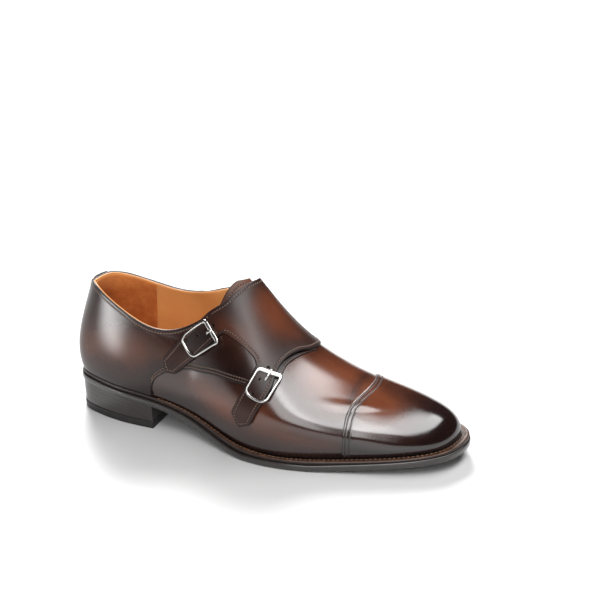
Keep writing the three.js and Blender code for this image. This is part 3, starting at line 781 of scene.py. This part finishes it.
def simple_material(name, low, high, roughness, scale=90, grain=0.00006, grain_scale=900, coat=0.0):
    """Two tones in soft clouds and a fine grain."""
    paint = Paint(name)
    color = paint.ramp(paint.noise(scale, 4), (0.3, low), (0.72, high))
    normal = paint.bump(paint.noise(grain_scale), grain, 0.4)
    return paint.done(Base_Color=color, Normal=normal, Roughness=roughness, Coat_Weight=coat,
                      Coat_Roughness=0.2)


def thread_material(name, low, high, roughness=0.5):
    return simple_material(name, low, high, roughness, 600, 0.00004, 2500)


def welt_material():
    """Inked leather, lighter on the crests of its wheel marks: partly rubbed to copper, partly a painted
    highlight that is brightest near the ledge's outer top edge.
    """
    paint = Paint("welt_leather")
    worn = paint.calc("MULTIPLY_ADD", paint.noise(260, 4, 0.7), 1.1, -0.28)
    tone = paint.calc("MULTIPLY", paint.attribute("crest_wear_and_highlight"), worn, clamp=True)
    color = paint.ramp(tone, (0.0, (0.012, 0.006, 0.0045)), (0.35, (0.09, 0.035, 0.018)),
                       (0.9, (0.42, 0.22, 0.13)))
    normal = paint.bump(paint.noise(800), 0.0001, 0.5)
    return paint.done(Base_Color=color, Normal=normal, Roughness=0.38)


def metal_material():
    paint = Paint("buckle_metal")
    haze = paint.noise(500, 4)
    color = paint.ramp(haze, (0.2, (0.60, 0.59, 0.57)), (0.8, (0.78, 0.77, 0.75)))
    rough = paint.calc("MULTIPLY_ADD", haze, 0.1, 0.2)
    normal = paint.bump(paint.noise(1600, 2, 0.5), 0.000005, 0.1)
    return paint.done(Base_Color=color, Roughness=rough, Normal=normal, Metallic=1.0)


CALF = calf_material("calf_vamp")
CALF_CAP = calf_material("calf_toe_cap", roughness=0.14)
CALF_QUARTER = calf_material("calf_quarters", QUARTER_TONES, roughness=0.24, grain=1.3, ior=1.5)
CALF_PANEL = calf_material("calf_panel", roughness=0.35, grain=1.3, ior=1.45)
CALF_TONGUE = calf_material("calf_tongue", TONGUE_TONES, roughness=0.42, ior=1.45)
LINING = lining_material()
SUEDE = suede_material()
SOCK = simple_material("insole_leather", (0.40, 0.16, 0.05), (0.55, 0.25, 0.09), 0.55)
BINDING = simple_material("collar_binding", (0.010, 0.006, 0.005), (0.025, 0.012, 0.009), 0.5)
THREAD = thread_material("dark_thread", (0.15, 0.085, 0.06), (0.29, 0.175, 0.125))
THREAD_BLACK = thread_material("black_thread", (0.008, 0.006, 0.005), (0.035, 0.02, 0.015))
THREAD_TAN = thread_material("tan_thread", (0.50, 0.24, 0.09), (0.68, 0.38, 0.17), 0.6)
THREAD_WELT = simple_material("welt_thread", (0.15, 0.075, 0.04), (0.38, 0.22, 0.13), 0.6, 500, 0.00005, 2200)
SOLE_EDGE = simple_material("sole_edge_ink", (0.022, 0.019, 0.018), (0.034, 0.029, 0.027), 0.3, 120,
                            0.00003, 500, coat=0.6)
HEEL_EDGE = simple_material("heel_edge_ink", (0.018, 0.013, 0.012), (0.030, 0.021, 0.019), 0.3, 60,
                            0.00003, 500, coat=0.4)
RUBBER = simple_material("top_piece_rubber", (0.010, 0.009, 0.009), (0.018, 0.016, 0.015), 0.5, 200,
                         0.0001, 700)
WELT = welt_material()
METAL = metal_material()


# ---- tubes, lines on the surface and stitches ----
def tube_faces(count, sides, closed=False):
    """Faces round rows of points; an open tube is capped at both ends."""
    i, j = np.meshgrid(np.arange(count if closed else count - 1), np.arange(sides), indexing="ij")
    a, b = i * sides + j, i * sides + (j + 1) % sides
    c, d = (i + 1) % count * sides + j, (i + 1) % count * sides + (j + 1) % sides
    faces = np.stack([a, b, d, c], -1).reshape(-1, 4).tolist()
    if not closed:
        ring = list(range(sides))
        faces += [ring[::-1], [(count - 1) * sides + corner for corner in ring]]
    return faces


def tube(name, sections, material, closed=False, floats=None):
    faces = tube_faces(*sections.shape[:2], closed)
    return add_mesh(name, sections.reshape(-1, 3), faces, material, floats)


def surface_line(places, top):
    """Points and outward normals of a line on a leather surface."""
    k, girth = places.T
    height = top(k, girth) + relief(k, girth)
    low = place(k, girth, height)
    return low, unit(place(k, girth, height + 1.0) - low)


def inside_line(places, depth):
    """The same on the inside, seen from within."""
    low = place(*places.T, -depth)
    return low, unit(low - place(*places.T, 1.0 - depth))


STITCH_SLANT = math.radians(7)
STITCH_STANDS = 0.02  # the middle of a thread, over the leather before it is pressed in
STITCH_TAPER = 1.7
STITCH_RINGS = 5
STITCH_SIDES = 6


def stitches(name, lines, material, pitch=STITCH, size=(1.35, 0.36)):
    """Rows of single stitches along lines of (points, normals); size is length and half thickness."""
    length, radius = size
    across = np.linspace(-0.5, 0.5, STITCH_RINGS)
    belly = np.sqrt(1 - (STITCH_TAPER * across)**2)
    angles = np.linspace(0, 2 * math.pi, STITCH_SIDES, endpoint=False)
    shape = tube_faces(STITCH_RINGS, STITCH_SIDES)
    cosine, sine = math.cos(STITCH_SLANT), math.sin(STITCH_SLANT)
    points, faces = [], []
    for path, normals in lines:
        run = distances(path)
        for at in np.arange(pitch / 2, run[-1] - pitch / 4, pitch):
            centre, front, back, n = (np.array([np.interp(at + d, run, values[:, i]) for i in range(3)])
                                      for d, values in ((0, path), (0.4, path), (-0.4, path), (0, normals)))
            along = unit(front - back)
            n = unit(n - along * np.dot(n, along))
            aside = np.cross(n, along)
            along, aside = along * cosine + aside * sine, aside * cosine - along * sine
            ring = (np.cos(angles)[:, None] * aside + np.sin(angles)[:, None] * n * 0.85) * radius
            first = len(points) * STITCH_RINGS * STITCH_SIDES
            points.append(np.concatenate([
                centre + along * length * x + n * (STITCH_STANDS - 0.5 * x * x) + ring * b
                for x, b in zip(across, belly)]))
            faces.extend([[first + a for a in face] for face in shape])
    return add_mesh(name, np.concatenate(points), faces, material)


def sew(name, lines, top, thread=THREAD, **how):
    """Stitches along lines of places on a leather surface."""
    stitches(name, [surface_line(line, top) for line in lines], thread, **how)


# ---- the upper: vamp, lining, collar ----
def upper_patch(s, stations, heights):
    """Grid of one side from the feather up; the columns bend forward so that they end on the topline."""
    u, w = np.meshgrid(stations, heights, indexing="ij")
    rear = u < THROAT
    k = np.where(rear, u + (s.top_k(u) - u) * w * w, u)
    v = np.where(rear, s.top_v(u) * w, w)
    return np.stack([k, -s.sign * (1 - v)], -1)


def build_vamp():
    stations, heights = np.linspace(0, TIP, 133), np.linspace(0, 1, 41)
    patches = [upper_patch(s, stations, heights) for s in (OUTER, INNER)]

    def dark(k, girth):
        # painted shade: darker near the sole, where the upper turns under, and at the toe cap's rear edge,
        # which shades the vamp
        low = smooth(0.80, 1.0, np.abs(girth)) * 0.5
        painted_seam_shade = 0.5 * np.exp(-((k - 8.1) / 0.10)**2)
        return np.clip(low + painted_seam_shade, 0, 1)

    piece = leather("vamp", patches, level(0.0), level(-1.15), CALF, dark=dark)
    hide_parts("upper")
    leather("lining", patches, level(-1.2), level(-2.4), LINING, roll=0.3)


GRIP_FRONT = 3.06  # station of the heel grip's front edge


def build_heel_grip():
    """Suede from the back of the heel to a stitched seam on each side, inside."""
    for name, s in (("outer", OUTER), ("inner", INNER)):
        patch = upper_patch(s, np.linspace(0, GRIP_FRONT, 40), np.linspace(0.04, 0.985, 30))
        patch[..., 0] = np.minimum(patch[..., 0], GRIP_FRONT + 0.01)
        outer, inner, places, faces = sheet([patch], level(-2.42), level(-3.1))
        points, faces, source, _ = rolled_shell(inner, outer, [f[::-1] for f in faces], 0.3)
        # painted light near the collar and painted shade deeper inside the shoe, passed on as "warm"
        light = smooth(0.5, 0.72, 1 - np.abs(places[:, 1]))
        add_mesh("heel_grip_" + name, points, faces, SUEDE, {"warm": light[source]})
        rise = np.linspace(0.10, float(s.top_v(GRIP_FRONT)) - 0.035, 90)
        line = np.stack([np.full_like(rise, GRIP_FRONT + 0.06), -s.sign * (1 - rise)], -1)
        stitches("grip_stitches_" + name, [inside_line(line, 2.5)], THREAD_TAN, pitch=2.3, size=(1.5, 0.33))


def seam_shade(chart, k, girth, width):
    """How close places are to a chart's first line: 1 on it, fading over a width in mm."""
    t = np.linspace(0, 1, 240)
    line = chart(t, np.zeros_like(t))
    dx = (k[:, None] - line[None, :, 0]) * STATION_MM
    dy = (girth[:, None] - line[None, :, 1]) * GIRTH_MM
    return np.exp(-np.min(dx * dx + dy * dy, axis=1) / width**2)


def build_quarters():
    chart = outer_quarter_chart()
    patch = patch_of(chart, rows_along(chart, [0, 0.5], [0], 2.0), [(0, 1, EDGE_STEPS, 22)])
    lines = [line_off(chart, np.linspace(0.37, 1, 170), 0, 1, d) for d in (1.6, 4.0)]
    lines.append(line_off(chart, np.linspace(0, 0.97, 200), 1, 0, 2.3))
    leather("quarter_outer", [patch], quarter_top, level(0.05), CALF_QUARTER,
            dark=lambda k, girth: 0.9 * seam_shade(chart, k, girth, 7), lines=lines)
    sew("quarter_outer_stitches", lines, quarter_top)


def build_panel():
    """Inner quarter, instep panel and the two straps: one piece of leather."""
    chart = panel_chart()
    steps = EDGE_STEPS[:-5]
    low_strap = (0, STRAP_SHARE, steps, STRAP_MIDDLE)
    between = (STRAP_SHARE, 1 - STRAP_SHARE, [0, 1.5, 3.0], 12)
    high_strap = (1 - STRAP_SHARE, 1, steps, STRAP_MIDDLE)
    body = patch_of(chart, rows_along(chart, [0, 0.5], EDGE_STEPS, 1.9), [low_strap, between, high_strap])
    columns = len(marks(1, steps, steps, count=STRAP_MIDDLE))
    patches, shapes = [body], {}
    run = np.concatenate([np.linspace(0, SHOULDER, 26)[1:], np.linspace(SHOULDER, 1, 7)[1:]])
    for name, root in (("lower", body[-1, :columns]), ("upper", body[-1, -columns:])):
        shapes[name] = strap_chart(STRAPS[name], root[0], root[-1])
        strap = patch_of(shapes[name], run, [(0, 1, steps, STRAP_MIDDLE)])
        patches.append(np.concatenate([root[None], strap]))

    def dark(k, girth):
        front = seam_shade(chart, k, girth, 6) * (k > 4)
        back = seam_shade(lambda t, c: chart(t, 1 - c), k, girth, 6)
        straps = 0.6 * smooth(0.44, 0.52, girth)
        return np.clip(0.7 * front + 0.6 * back + straps, 0, 1)

    lines = panel_lines(chart, shapes)
    piece = leather("strap_panel_leather", patches, panel_top, panel_low, CALF_PANEL, roll=0.55, dark=dark,
                    lines=lines)
    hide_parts("strap_panel")
    punch(piece)
    sew("panel_stitches", lines, panel_top)


STITCH_INSET = 2.1


def strap_outline(shape):
    """The stitch line round a strap: down the toe side, round the tip, up the ankle side."""
    run = np.linspace(0.02, 0.97, 90)
    width = np.array([lengths(shape(np.full(9, t), np.linspace(0, 1, 9)))[-1] for t in run])
    run = run[width > 2.3 * STITCH_INSET]
    toe = line_off(shape, run, 0, 1, STITCH_INSET)
    ankle = line_off(shape, run, 1, 0, STITCH_INSET)
    return np.concatenate([toe, ankle[::-1]])


def panel_lines(chart, shapes):
    start = len(FEATHER_RUN) / PANEL_COUNT
    corner = (len(COLLAR_AT) + CORNER_ROW) / PANEL_COUNT
    front = line_off(chart, np.linspace(start, 0.995, 330), 0, 1, STITCH_INSET)
    second = line_off(chart, np.linspace(start, corner - 0.004, 140), 0, 1, STITCH_INSET + 2.4)
    top = line_off(chart, np.linspace(0.995, 0.0, 330), 1, 0, 2.3)
    cut = line_off(swapped(chart), np.linspace(STRAP_SHARE, 1 - STRAP_SHARE, 60), 1, 0, STITCH_INSET)
    tack = [line_off(chart, np.linspace(corner - 0.016, corner - 0.002, 12), 0, 1, d) for d in (3.1, 3.6)]
    sew("bar_tack", tack, panel_top, pitch=1.1, size=(1.3, 0.3))
    return [front, strap_outline(shapes["lower"]), cut[3:-3], strap_outline(shapes["upper"]), top, second]


def build_underlay():
    """The vamp's own edge, which shows as a stitched line just ahead of the panel."""
    chart = ruled(UNDERLAY, [[k - UNDERLAY_WIDTH, g] for k, g in UNDERLAY])
    rows = np.linspace(0, 1, 60)
    patch = patch_of(chart, rows, [(0, 1, [0, 0.4, 0.8], 4)])
    leather("vamp_edge", [patch], UNDERLAY_TOP, level(0.03), CALF_QUARTER, roll=0.3, dark=level(1.0))
    sew("vamp_edge_stitches", [line_off(chart, rows, 0, 1, 0.8)], UNDERLAY_TOP, size=(1.4, 0.3))


def build_tab():
    """The rounded tab at the back of the collar, carried over from the outer quarter to the inner one."""
    chart = ruled(HEEL_TAB, topline(INNER, np.array([0, 0.26, 0.53, 0.8, 1.03])))
    patch = patch_of(chart, np.linspace(0, 0.985, 50), [(0, 1, EDGE_STEPS[:-4], 12)])
    lines = [line_off(chart, np.linspace(0.02, 0.9, 60), 0, 1, d) for d in (1.4, 3.6)]
    leather("heel_tab", [patch], tab_top, level(0.5), CALF_QUARTER, dark=level(0.6), lines=lines)
    sew("heel_tab_stitches", lines, tab_top)


def build_cap():
    def chart(t, c):
        girth = 2 * np.asarray(c, float) - 1
        bow = np.minimum(np.abs(girth) / CAP_BOW_GIRTH, 1)
        rear = CAP_STATION + CAP_BOW * np.cos(math.pi * bow / 2)**2
        return np.stack([rear + (TIP - rear) * t, girth], -1)

    def dark(k, girth):
        # darker along the cap's rear edge; painted shade towards the toe tip and near the sole
        rear = np.exp(-((k - 8.15) / 0.18)**2)
        return np.clip(0.55 * rear + smooth(9.2, 10.6, k) + smooth(0.62, 0.95, np.abs(girth)), 0, 1)

    rows = rows_along(chart, EDGE_STEPS, [0, 0.4], 1.5)
    patch = chart(*np.meshgrid(rows, np.linspace(0, 1, 121), indexing="ij"))
    lines = [line_off(swapped(chart), np.linspace(0.015, 0.985, 200), 0, 1, d) for d in (1.5, 4.3)]
    piece = leather("toe_cap_leather", [patch], CAP_TOP, level(0.08), CALF_CAP, dark=dark, lines=lines)
    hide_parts("toe_cap")
    sew("toe_cap_stitches", lines, CAP_TOP, THREAD_BLACK)


def build_tongue():
    def chart(t, c):
        t = np.asarray(t, float)
        edge = through(TONGUE_EDGE, c)
        narrow = 1 - TONGUE_NARROWING * t
        return np.stack([edge[..., 0] + (TONGUE_END - edge[..., 0]) * t, edge[..., 1] * narrow], -1)

    rows = rows_along(chart, EDGE_STEPS, [0], 1.8)
    patch = patch_of(chart, rows, [(0, 1, [0, 0.6, 1.2, 2.0], 30)])
    lines = [line_off(swapped(chart), np.linspace(0.06, 0.94, 80), 0, 1, 3.6)]
    piece = leather("tongue_leather", [patch], TONGUE_TOP, level(-5.2), CALF_TONGUE, roll=0.7, lines=lines)
    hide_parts("tongue")
    sew("tongue_stitches", lines, TONGUE_TOP)


BINDING_RADIUS = 0.45
BINDING_INSET = 0.75


def build_collar():
    """A narrow bound edge that stands a little above the lining, all round the collar."""
    ring = np.linspace(0, 2 * math.pi, 10, endpoint=False)
    sections = []
    for s, run in ((OUTER, np.linspace(5.6, 0, 150)), (INNER, np.linspace(0.04, 5.9, 150))):
        k, girth = topline(s, run).T
        v = 1 - np.abs(girth)
        p, n = last_point(s, k, v), last_normal(s, k, v)
        rise = unit(last_point(s, k, v + 0.005) - p)
        centre = p - n * BINDING_INSET - rise * 0.1
        turned = np.cos(ring)[:, None] * n[:, None] + np.sin(ring)[:, None] * rise[:, None]
        sections.append(centre[:, None] + turned * BINDING_RADIUS)
    tube("collar_binding", np.concatenate(sections), BINDING)


# ---- punched holes ----
HOLES = [(5.02, 0.535), (5.40, 0.451), (4.72, 0.60), (6.51, 0.551), (6.64, 0.448), (6.40, 0.645)]
HOLE_RADIUS = 0.95


def punch(piece):
    """Cuts round holes through the straps."""
    made = bmesh.new()
    for k, girth in HOLES:
        base, tip = place(k, girth, [2.0, 3.0])
        centre = (Vector(base) - Vector((HEEL_REST_X, 0, 0))) * MM
        turn = Vector(unit(tip - base)).to_track_quat("Z", "Y").to_matrix().to_4x4()
        bmesh.ops.create_cone(made, cap_ends=True, segments=20, radius1=HOLE_RADIUS * MM,
                              radius2=HOLE_RADIUS * MM, depth=0.006, matrix=Matrix.Translation(centre) @ turn)
    mesh = bpy.data.meshes.new("punch")
    made.to_mesh(mesh)
    made.free()
    mesh.materials.append(BINDING)
    cutter = add_object("punch", mesh)
    cut = piece.modifiers.new("holes", "BOOLEAN")
    cut.operation = "DIFFERENCE"
    cut.solver = "EXACT"
    cut.object = cutter
    bpy.context.view_layer.update()
    graph = bpy.context.evaluated_depsgraph_get()
    done = bpy.data.meshes.new_from_object(piece.evaluated_get(graph))
    piece.modifiers.clear()
    piece.data = done
    bpy.data.objects.remove(cutter)


# ---- sole and heel ----
def sole_point(s, k, reach, z):
    n = plan_normal(s, k) * (s.edge(k) + reach)[..., None]
    return np.stack([s.xf(k) + n[..., 0], s.yf(k) + n[..., 1], np.broadcast_to(z, k.shape)], -1)


def underside(k):
    return np.maximum(OUTER.zs(k), 0)


PLATE_COLUMNS = 25


def plate(name, ends, low, high, roll, material, steps=150):
    """A plate from the heel to a station on each side; low and high give its faces at (side, station)."""
    t, c = np.meshgrid(np.linspace(0, 1, steps), np.linspace(0, 1, PLATE_COLUMNS), indexing="ij")

    def face(at):
        outer, inner = (at(s, t * end) for s, end in zip((OUTER, INNER), ends))
        return mix(outer, inner, c).reshape(-1, 3)

    top, bottom = face(high), face(low)
    kept, faces = weld(top, facing(top, top - bottom, grid_quads(steps, PLATE_COLUMNS)))
    points, faces, _, wall = rolled_shell(top[kept], bottom[kept], faces, roll)
    return add_mesh(name, points, faces, material, {"cut": wall})


def breast_station(s):
    """The station where the sole's edge passes the heel breast."""
    low, high = 3.0, 5.0
    for _ in range(HALVINGS):
        middle = (low + high) / 2
        at = sole_point(s, np.array([middle]), 0.0, 0.0)[0]
        low, high = (middle, high) if at[0] < HEEL_BREAST_X else (low, middle)
    return low


def build_outsole():
    def at(rise):
        return lambda s, k: sole_point(s, k, 0.0, underside(k) + rise)
    piece = plate("outsole_leather", (TIP, TIP), at(0.0), at(OUTSOLE), 0.9, SOLE_EDGE, steps=260)
    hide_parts("outsole")


def heel_layer(name, low, high, roll, material):
    """A layer of the heel between two heights; the heel narrows towards the floor."""
    full = float(underside(np.zeros(1))[0])

    def at(height):
        return lambda s, k: sole_point(s, k, -HEEL_TAPER * (1 - height(k) / full), height(k))

    ends = [breast_station(s) for s in (OUTER, INNER)]
    return plate(name, ends, at(low), at(high), roll, material, steps=90)


def build_heel():
    def flat(z):
        return lambda k: np.full_like(k, z)

    def share(part):
        return lambda k: TOP_PIECE + (underside(k) - TOP_PIECE) * part

    top_piece = heel_layer("top_piece_rubber", flat(0.0), flat(TOP_PIECE - 0.1), 0.5, RUBBER)
    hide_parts("top_piece")
    for i in range(LIFTS):
        layer = heel_layer(f"heel_lift_{i + 1}", share(i / LIFTS), share((i + 1) / LIFTS - 0.001), 0.05,
                           HEEL_EDGE)
        if i == 0:
            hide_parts("heel_stack")


def build_insole():
    def inside(z):
        return lambda s, k: sole_point(s, k, -s.edge(k) - INSOLE_INSET, z(s, k))

    low = inside(lambda s, k: underside(k) + OUTSOLE + GAP)
    high = inside(lambda s, k: s.zf(k) + INSOLE_RISE)
    piece = plate("insole_leather", (TIP, TIP), low, high, 0.8, SOCK)
    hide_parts("insole")


WHEEL_PITCH = 1.65  # from mark to mark on the welt
WELT_STEPS = 3600
WELT_ROWS = [
    # reach from the sole's edge as a share of the ledge, or None under the upper; drop; marks; crest (rubbed
    # wear and painted highlight)
    (None, 0.0, 0.0, 0.0),
    (0.00, 0.0, 0.0, 0.0),
    (-0.02, -0.9, 0.0, 0.3),
    (0.02, -0.35, 0.15, 1.0),
    (0.12, -0.05, 0.2, 1.4),
    (0.24, 0.0, 0.3, 1.4),
    (0.34, -0.12, 1.0, 0.7),
    (0.50, -0.1, 1.0, 0.6),
    (0.64, -0.15, 1.0, 0.5),
    (0.76, -0.35, 0.2, 0.0),
    (0.90, -0.5, 0.0, 0.0),
    (None, -0.5, 0.0, 0.0),
]


def build_welt():
    """The welt: from the heel breast round the toe it shows a wheeled and stitched ledge."""
    u = np.linspace(0, 2 * TIP, WELT_STEPS, endpoint=False)
    outer = u <= TIP
    k = np.where(outer, u, 2 * TIP - u)

    def lap(reach, z):
        return np.where(outer[:, None], sole_point(OUTER, k, reach, z), sole_point(INNER, k, reach, z))

    edge = np.where(outer, OUTER.edge(k), INNER.edge(k))
    base = underside(k) + OUTSOLE + 0.1
    top = OUTER.zf(k) - GAP
    rim = lap(0.0, top)
    run = np.cumsum(np.linalg.norm(rim - np.roll(rim, 1, axis=0), axis=-1))
    wave = 0.5 + 0.5 * np.cos(2 * math.pi * run / WHEEL_PITCH)
    fore = smooth(3.7, 4.4, k)
    sections, crest_wear_and_highlight = [], []
    for i, (share, drop, marked, bright) in enumerate(WELT_ROWS):
        reach = -edge - 3.0 if share is None else -edge * share
        z = base if i < 2 else top + drop - 0.5 * fore * marked * (1 - wave)**2
        sections.append(lap(reach, z))
        # lighter crests: rubbed wear on the wheel marks, and a painted highlight strongest near the ledge's
        # outer top edge
        crest_wear_and_highlight.append(bright * fore * (0.25 + 0.75 * wave))
    piece = tube("welt_leather", np.stack(sections, 1), WELT, closed=True,
                 floats={"crest_wear_and_highlight": np.stack(crest_wear_and_highlight, 1).reshape(-1)})
    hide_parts("welt")
    middle = lap(-edge * 0.52, top - 0.1)[k > 4.0]
    up = np.tile([0.0, 0.0, 1.0], (len(middle), 1))
    stitches("welt_stitches", [(middle, up)], THREAD_WELT, pitch=2 * WHEEL_PITCH, size=(2.2, 0.3))


# ---- buckles ----
BUCKLES = [
    {"name": "upper", "x": 115.9, "z": 76.9, "slope": 38, "skew": -11, "length": 27.5, "width": 21},
    {"name": "lower", "x": 168, "z": 55.2, "slope": 68, "skew": 0, "length": 20, "width": 18.4},
]
WIRE = 0.95
NEAR_BAR = 0.6  # by which the bar nearest the instep is wider than the wire
NEAR_CORNER = 2.0
FAR_CORNER = 4.2
FAR_BOW = 1.3
FAR_DIP = 0.3  # of the bow, by which the far bar's ends draw in
WIRE_SIDES = 14
WIRE_STEP = 1.2  # between sections of the frame's straight bars
WIRE_SQUARENESS = 0.75
PRONG_REST = 2 * WIRE + 0.55
PRONG_STEPS = 30
# The prong, from under the strap to its point: distance from the near bar, height over the strap.
PRONG_LINE = [[5.4, -0.6], [4.6, 0.5], [3.3, PRONG_REST - 0.7], [1.8, PRONG_REST + 0.1],
              [0, PRONG_REST + 0.2], [-1.7, PRONG_REST - 0.15]]


def locate(x, z):
    """Station and height share of the outer side under points of the side view."""
    k, v, e = np.full_like(x, 5.0), np.full_like(x, 0.4), 0.001
    for _ in range(LOCATE_STEPS):
        p = last_point(OUTER, k, v)
        a = (last_point(OUTER, k + e, v) - p) / e
        b = (last_point(OUTER, k, v + e) - p) / e
        det = a[:, 0] * b[:, 2] - a[:, 2] * b[:, 0]
        dx, dz = x - p[:, 0], z - p[:, 2]
        k = k + (dx * b[:, 2] - dz * b[:, 0]) / det
        v = v + (dz * a[:, 0] - dx * a[:, 2]) / det
    return k, v


def buckle_spots(buckle, spots, height):
    """Points over the strap: spots are (along the strap, across it) from the buckle's centre."""
    k, v = locate(np.array([buckle["x"]]), np.array([buckle["z"]]))
    middle = skin(OUTER, k, v, panel_top(k, 1 - v))[0]
    normal = last_normal(OUTER, k, v)[0]
    slope, skew = math.radians(buckle["slope"]), math.radians(buckle["skew"])
    along = np.array([-math.cos(slope), 0, -math.sin(slope)])
    along[1] = -(along[0] * normal[0] + along[2] * normal[2]) / normal[1]
    along = unit(along)
    across = np.cross(along, normal) * math.cos(skew) - along * math.sin(skew)
    flat = middle + spots[:, :1] * along + spots[:, 1:] * across
    k, v = locate(flat[:, 0], flat[:, 2])
    normals = unit(last_normal(OUTER, k, v) + 0.6 * normal)
    return skin(OUTER, k, v, panel_top(k, 1 - v) + relief(k, 1 - v) + height), normals


def frame_outline(buckle):
    """A rounded rectangle: tight corners at the bar nearest the instep, the far bar bowed outward."""
    half_a, half_c = buckle["length"] / 2 - WIRE, buckle["width"] / 2 - WIRE
    corners = []
    for turn, (sa, sc) in enumerate(((1, 1), (-1, 1), (-1, -1), (1, -1))):
        r = FAR_CORNER if sa > 0 else NEAR_CORNER
        angle = (turn + np.linspace(0, 1, 9)) * math.pi / 2
        centre = np.array([sa * (half_a - r), sc * (half_c - r)])
        corners.append(centre + r * np.stack([np.cos(angle), np.sin(angle)], -1))
    spots = np.concatenate(corners)
    line = []
    for a, b in zip(spots, np.roll(spots, -1, axis=0)):
        pieces = max(int(np.hypot(*(b - a)) / WIRE_STEP), 1)
        line.extend(a + (b - a) * i / pieces for i in range(pieces))
    line = np.array(line)
    share = np.clip(line[:, 0] / half_a, 0, 1)**2
    line[:, 0] += FAR_BOW * share * (1 - (line[:, 1] / half_c)**2 - FAR_DIP)
    return line


def wire(centres, normals, widths, heights, closed):
    """Sections of a wire, between round and square, along a line."""
    ahead, behind = np.roll(centres, -1, axis=0), np.roll(centres, 1, axis=0)
    if not closed:
        ahead[-1], behind[0] = centres[-1], centres[0]
    sideways = unit(np.cross(unit(ahead - behind), normals))
    angles = np.linspace(0, 2 * math.pi, WIRE_SIDES, endpoint=False)
    c, s = (np.sign(a) * np.abs(a)**WIRE_SQUARENESS for a in (np.cos(angles), np.sin(angles)))
    return (centres[:, None] + sideways[:, None] * (c[None] * widths[:, None])[..., None]
            + normals[:, None] * (s[None] * heights[:, None])[..., None])


def build_buckle(buckle):
    spots = frame_outline(buckle)
    near_bar = smooth(0.25, 0.5, -spots[:, 0] / buckle["length"])
    centres, normals = buckle_spots(buckle, spots, np.full(len(spots), GAP * 0.4 + WIRE))
    sections = wire(centres, normals, WIRE + NEAR_BAR * near_bar, np.full(len(spots), WIRE * 0.92), True)
    frame_piece = tube("buckle_frame_" + buckle["name"], sections, METAL, closed=True)
    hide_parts("buckle_" + buckle["name"])
    steps = np.linspace(0, 1, PRONG_STEPS)
    reach, height = through(PRONG_LINE, steps).T
    reach = reach - buckle["length"] / 2 + WIRE
    centres, normals = buckle_spots(buckle, np.stack([reach, 0 * reach], -1), height)
    taper = 1 - 0.45 * smooth(0.8, 1.0, steps)
    sections = wire(centres, normals, 0.95 * taper, 0.75 * taper, False)
    prong = tube("buckle_prong_" + buckle["name"], sections, METAL)
    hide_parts("prong_" + buckle["name"])


# ---- the shoe ----
build_vamp()
build_heel_grip()
build_quarters()
build_panel()
build_underlay()
build_tab()
build_cap()
build_tongue()
build_collar()
build_outsole()
build_heel()
build_insole()
build_welt()
for buckle in BUCKLES:
    build_buckle(buckle)


# ---- floor, light and camera ----
def add_light(name, where, size, power, target=(0.11, 0.0, 0.04), spread=180):
    data = bpy.data.lights.new(name, "AREA")
    data.shape = "RECTANGLE"
    data.size, data.size_y = size
    data.energy = power
    data.spread = math.radians(spread)
    piece = add_object(name, data)
    piece.location = where
    piece.rotation_mode = "QUATERNION"
    piece.rotation_quaternion = (Vector(target) - Vector(where)).to_track_quat("-Z", "Y")


FLOOR_HALF = 8.0  # metres


def build_floor():
    mesh = bpy.data.meshes.new("floor")
    corners = [(FLOOR_HALF * x, FLOOR_HALF * y, 0) for x, y in ((-1, -1), (1, -1), (1, 1), (-1, 1))]
    mesh.from_pydata(corners, [], [(0, 1, 2, 3)])
    mesh.materials.append(Paint("floor_white").done(Base_Color=(0.62, 0.62, 0.62, 1), Roughness=0.5,
                                                    Specular_IOR_Level=0.3))
    add_object("floor", mesh)


def build_world():
    world = bpy.data.worlds.new("studio")
    world.use_nodes = True
    background = world.node_tree.nodes["Background"]
    background.inputs["Color"].default_value = (1, 1, 1, 1)
    background.inputs["Strength"].default_value = 0.03
    bpy.context.scene.world = world


CAMERA = {"azimuth": 21.07, "elevation": 21.96, "roll": -0.39, "lens": 93.54,
          "at": (0.5144, -0.9651, 0.5224)}


def build_camera():
    data = bpy.data.cameras.new("camera")
    data.sensor_width = 36.0
    data.lens = CAMERA["lens"]
    data.clip_start = 0.05
    data.clip_end = 50
    camera = add_object("camera", data)
    a, e, r = (math.radians(CAMERA[key]) for key in ("azimuth", "elevation", "roll"))
    back = Vector((math.sin(a) * math.cos(e), -math.cos(a) * math.cos(e), math.sin(e)))
    right = Vector((math.cos(a), math.sin(a), 0))
    up = back.cross(right)
    turned = right * math.cos(r) + up * math.sin(r)
    over = up * math.cos(r) - right * math.sin(r)
    axes = Matrix((turned, over, back)).transposed().to_4x4()
    camera.matrix_world = Matrix.Translation(CAMERA["at"]) @ axes
    bpy.context.scene.camera = camera


build_floor()
build_world()
build_camera()
add_light("main_box", (0.785, 0.0, 1.5), (0.53, 2.6), 30, (0.785, 0.0, 0))
add_light("front_card", (0.32, -1.0, 0.86), (0.67, 1.35), 12, (0.2, -0.05, 0.05))
add_light("left_fill", (-0.75, 1.25, 1.3), (0.9, 0.9), 24)
add_light("back_floor", (-1.2, 2.6, 2.2), (1.5, 1.5), 170, (0.7, 1.7, 0))
add_light("heel_card", (-0.14, -0.155, 0.06), (0.07, 0.11), 0.012, (0.0, -0.01, 0.085), spread=28)
bpy.context.scene.view_settings.view_transform = "Standard"
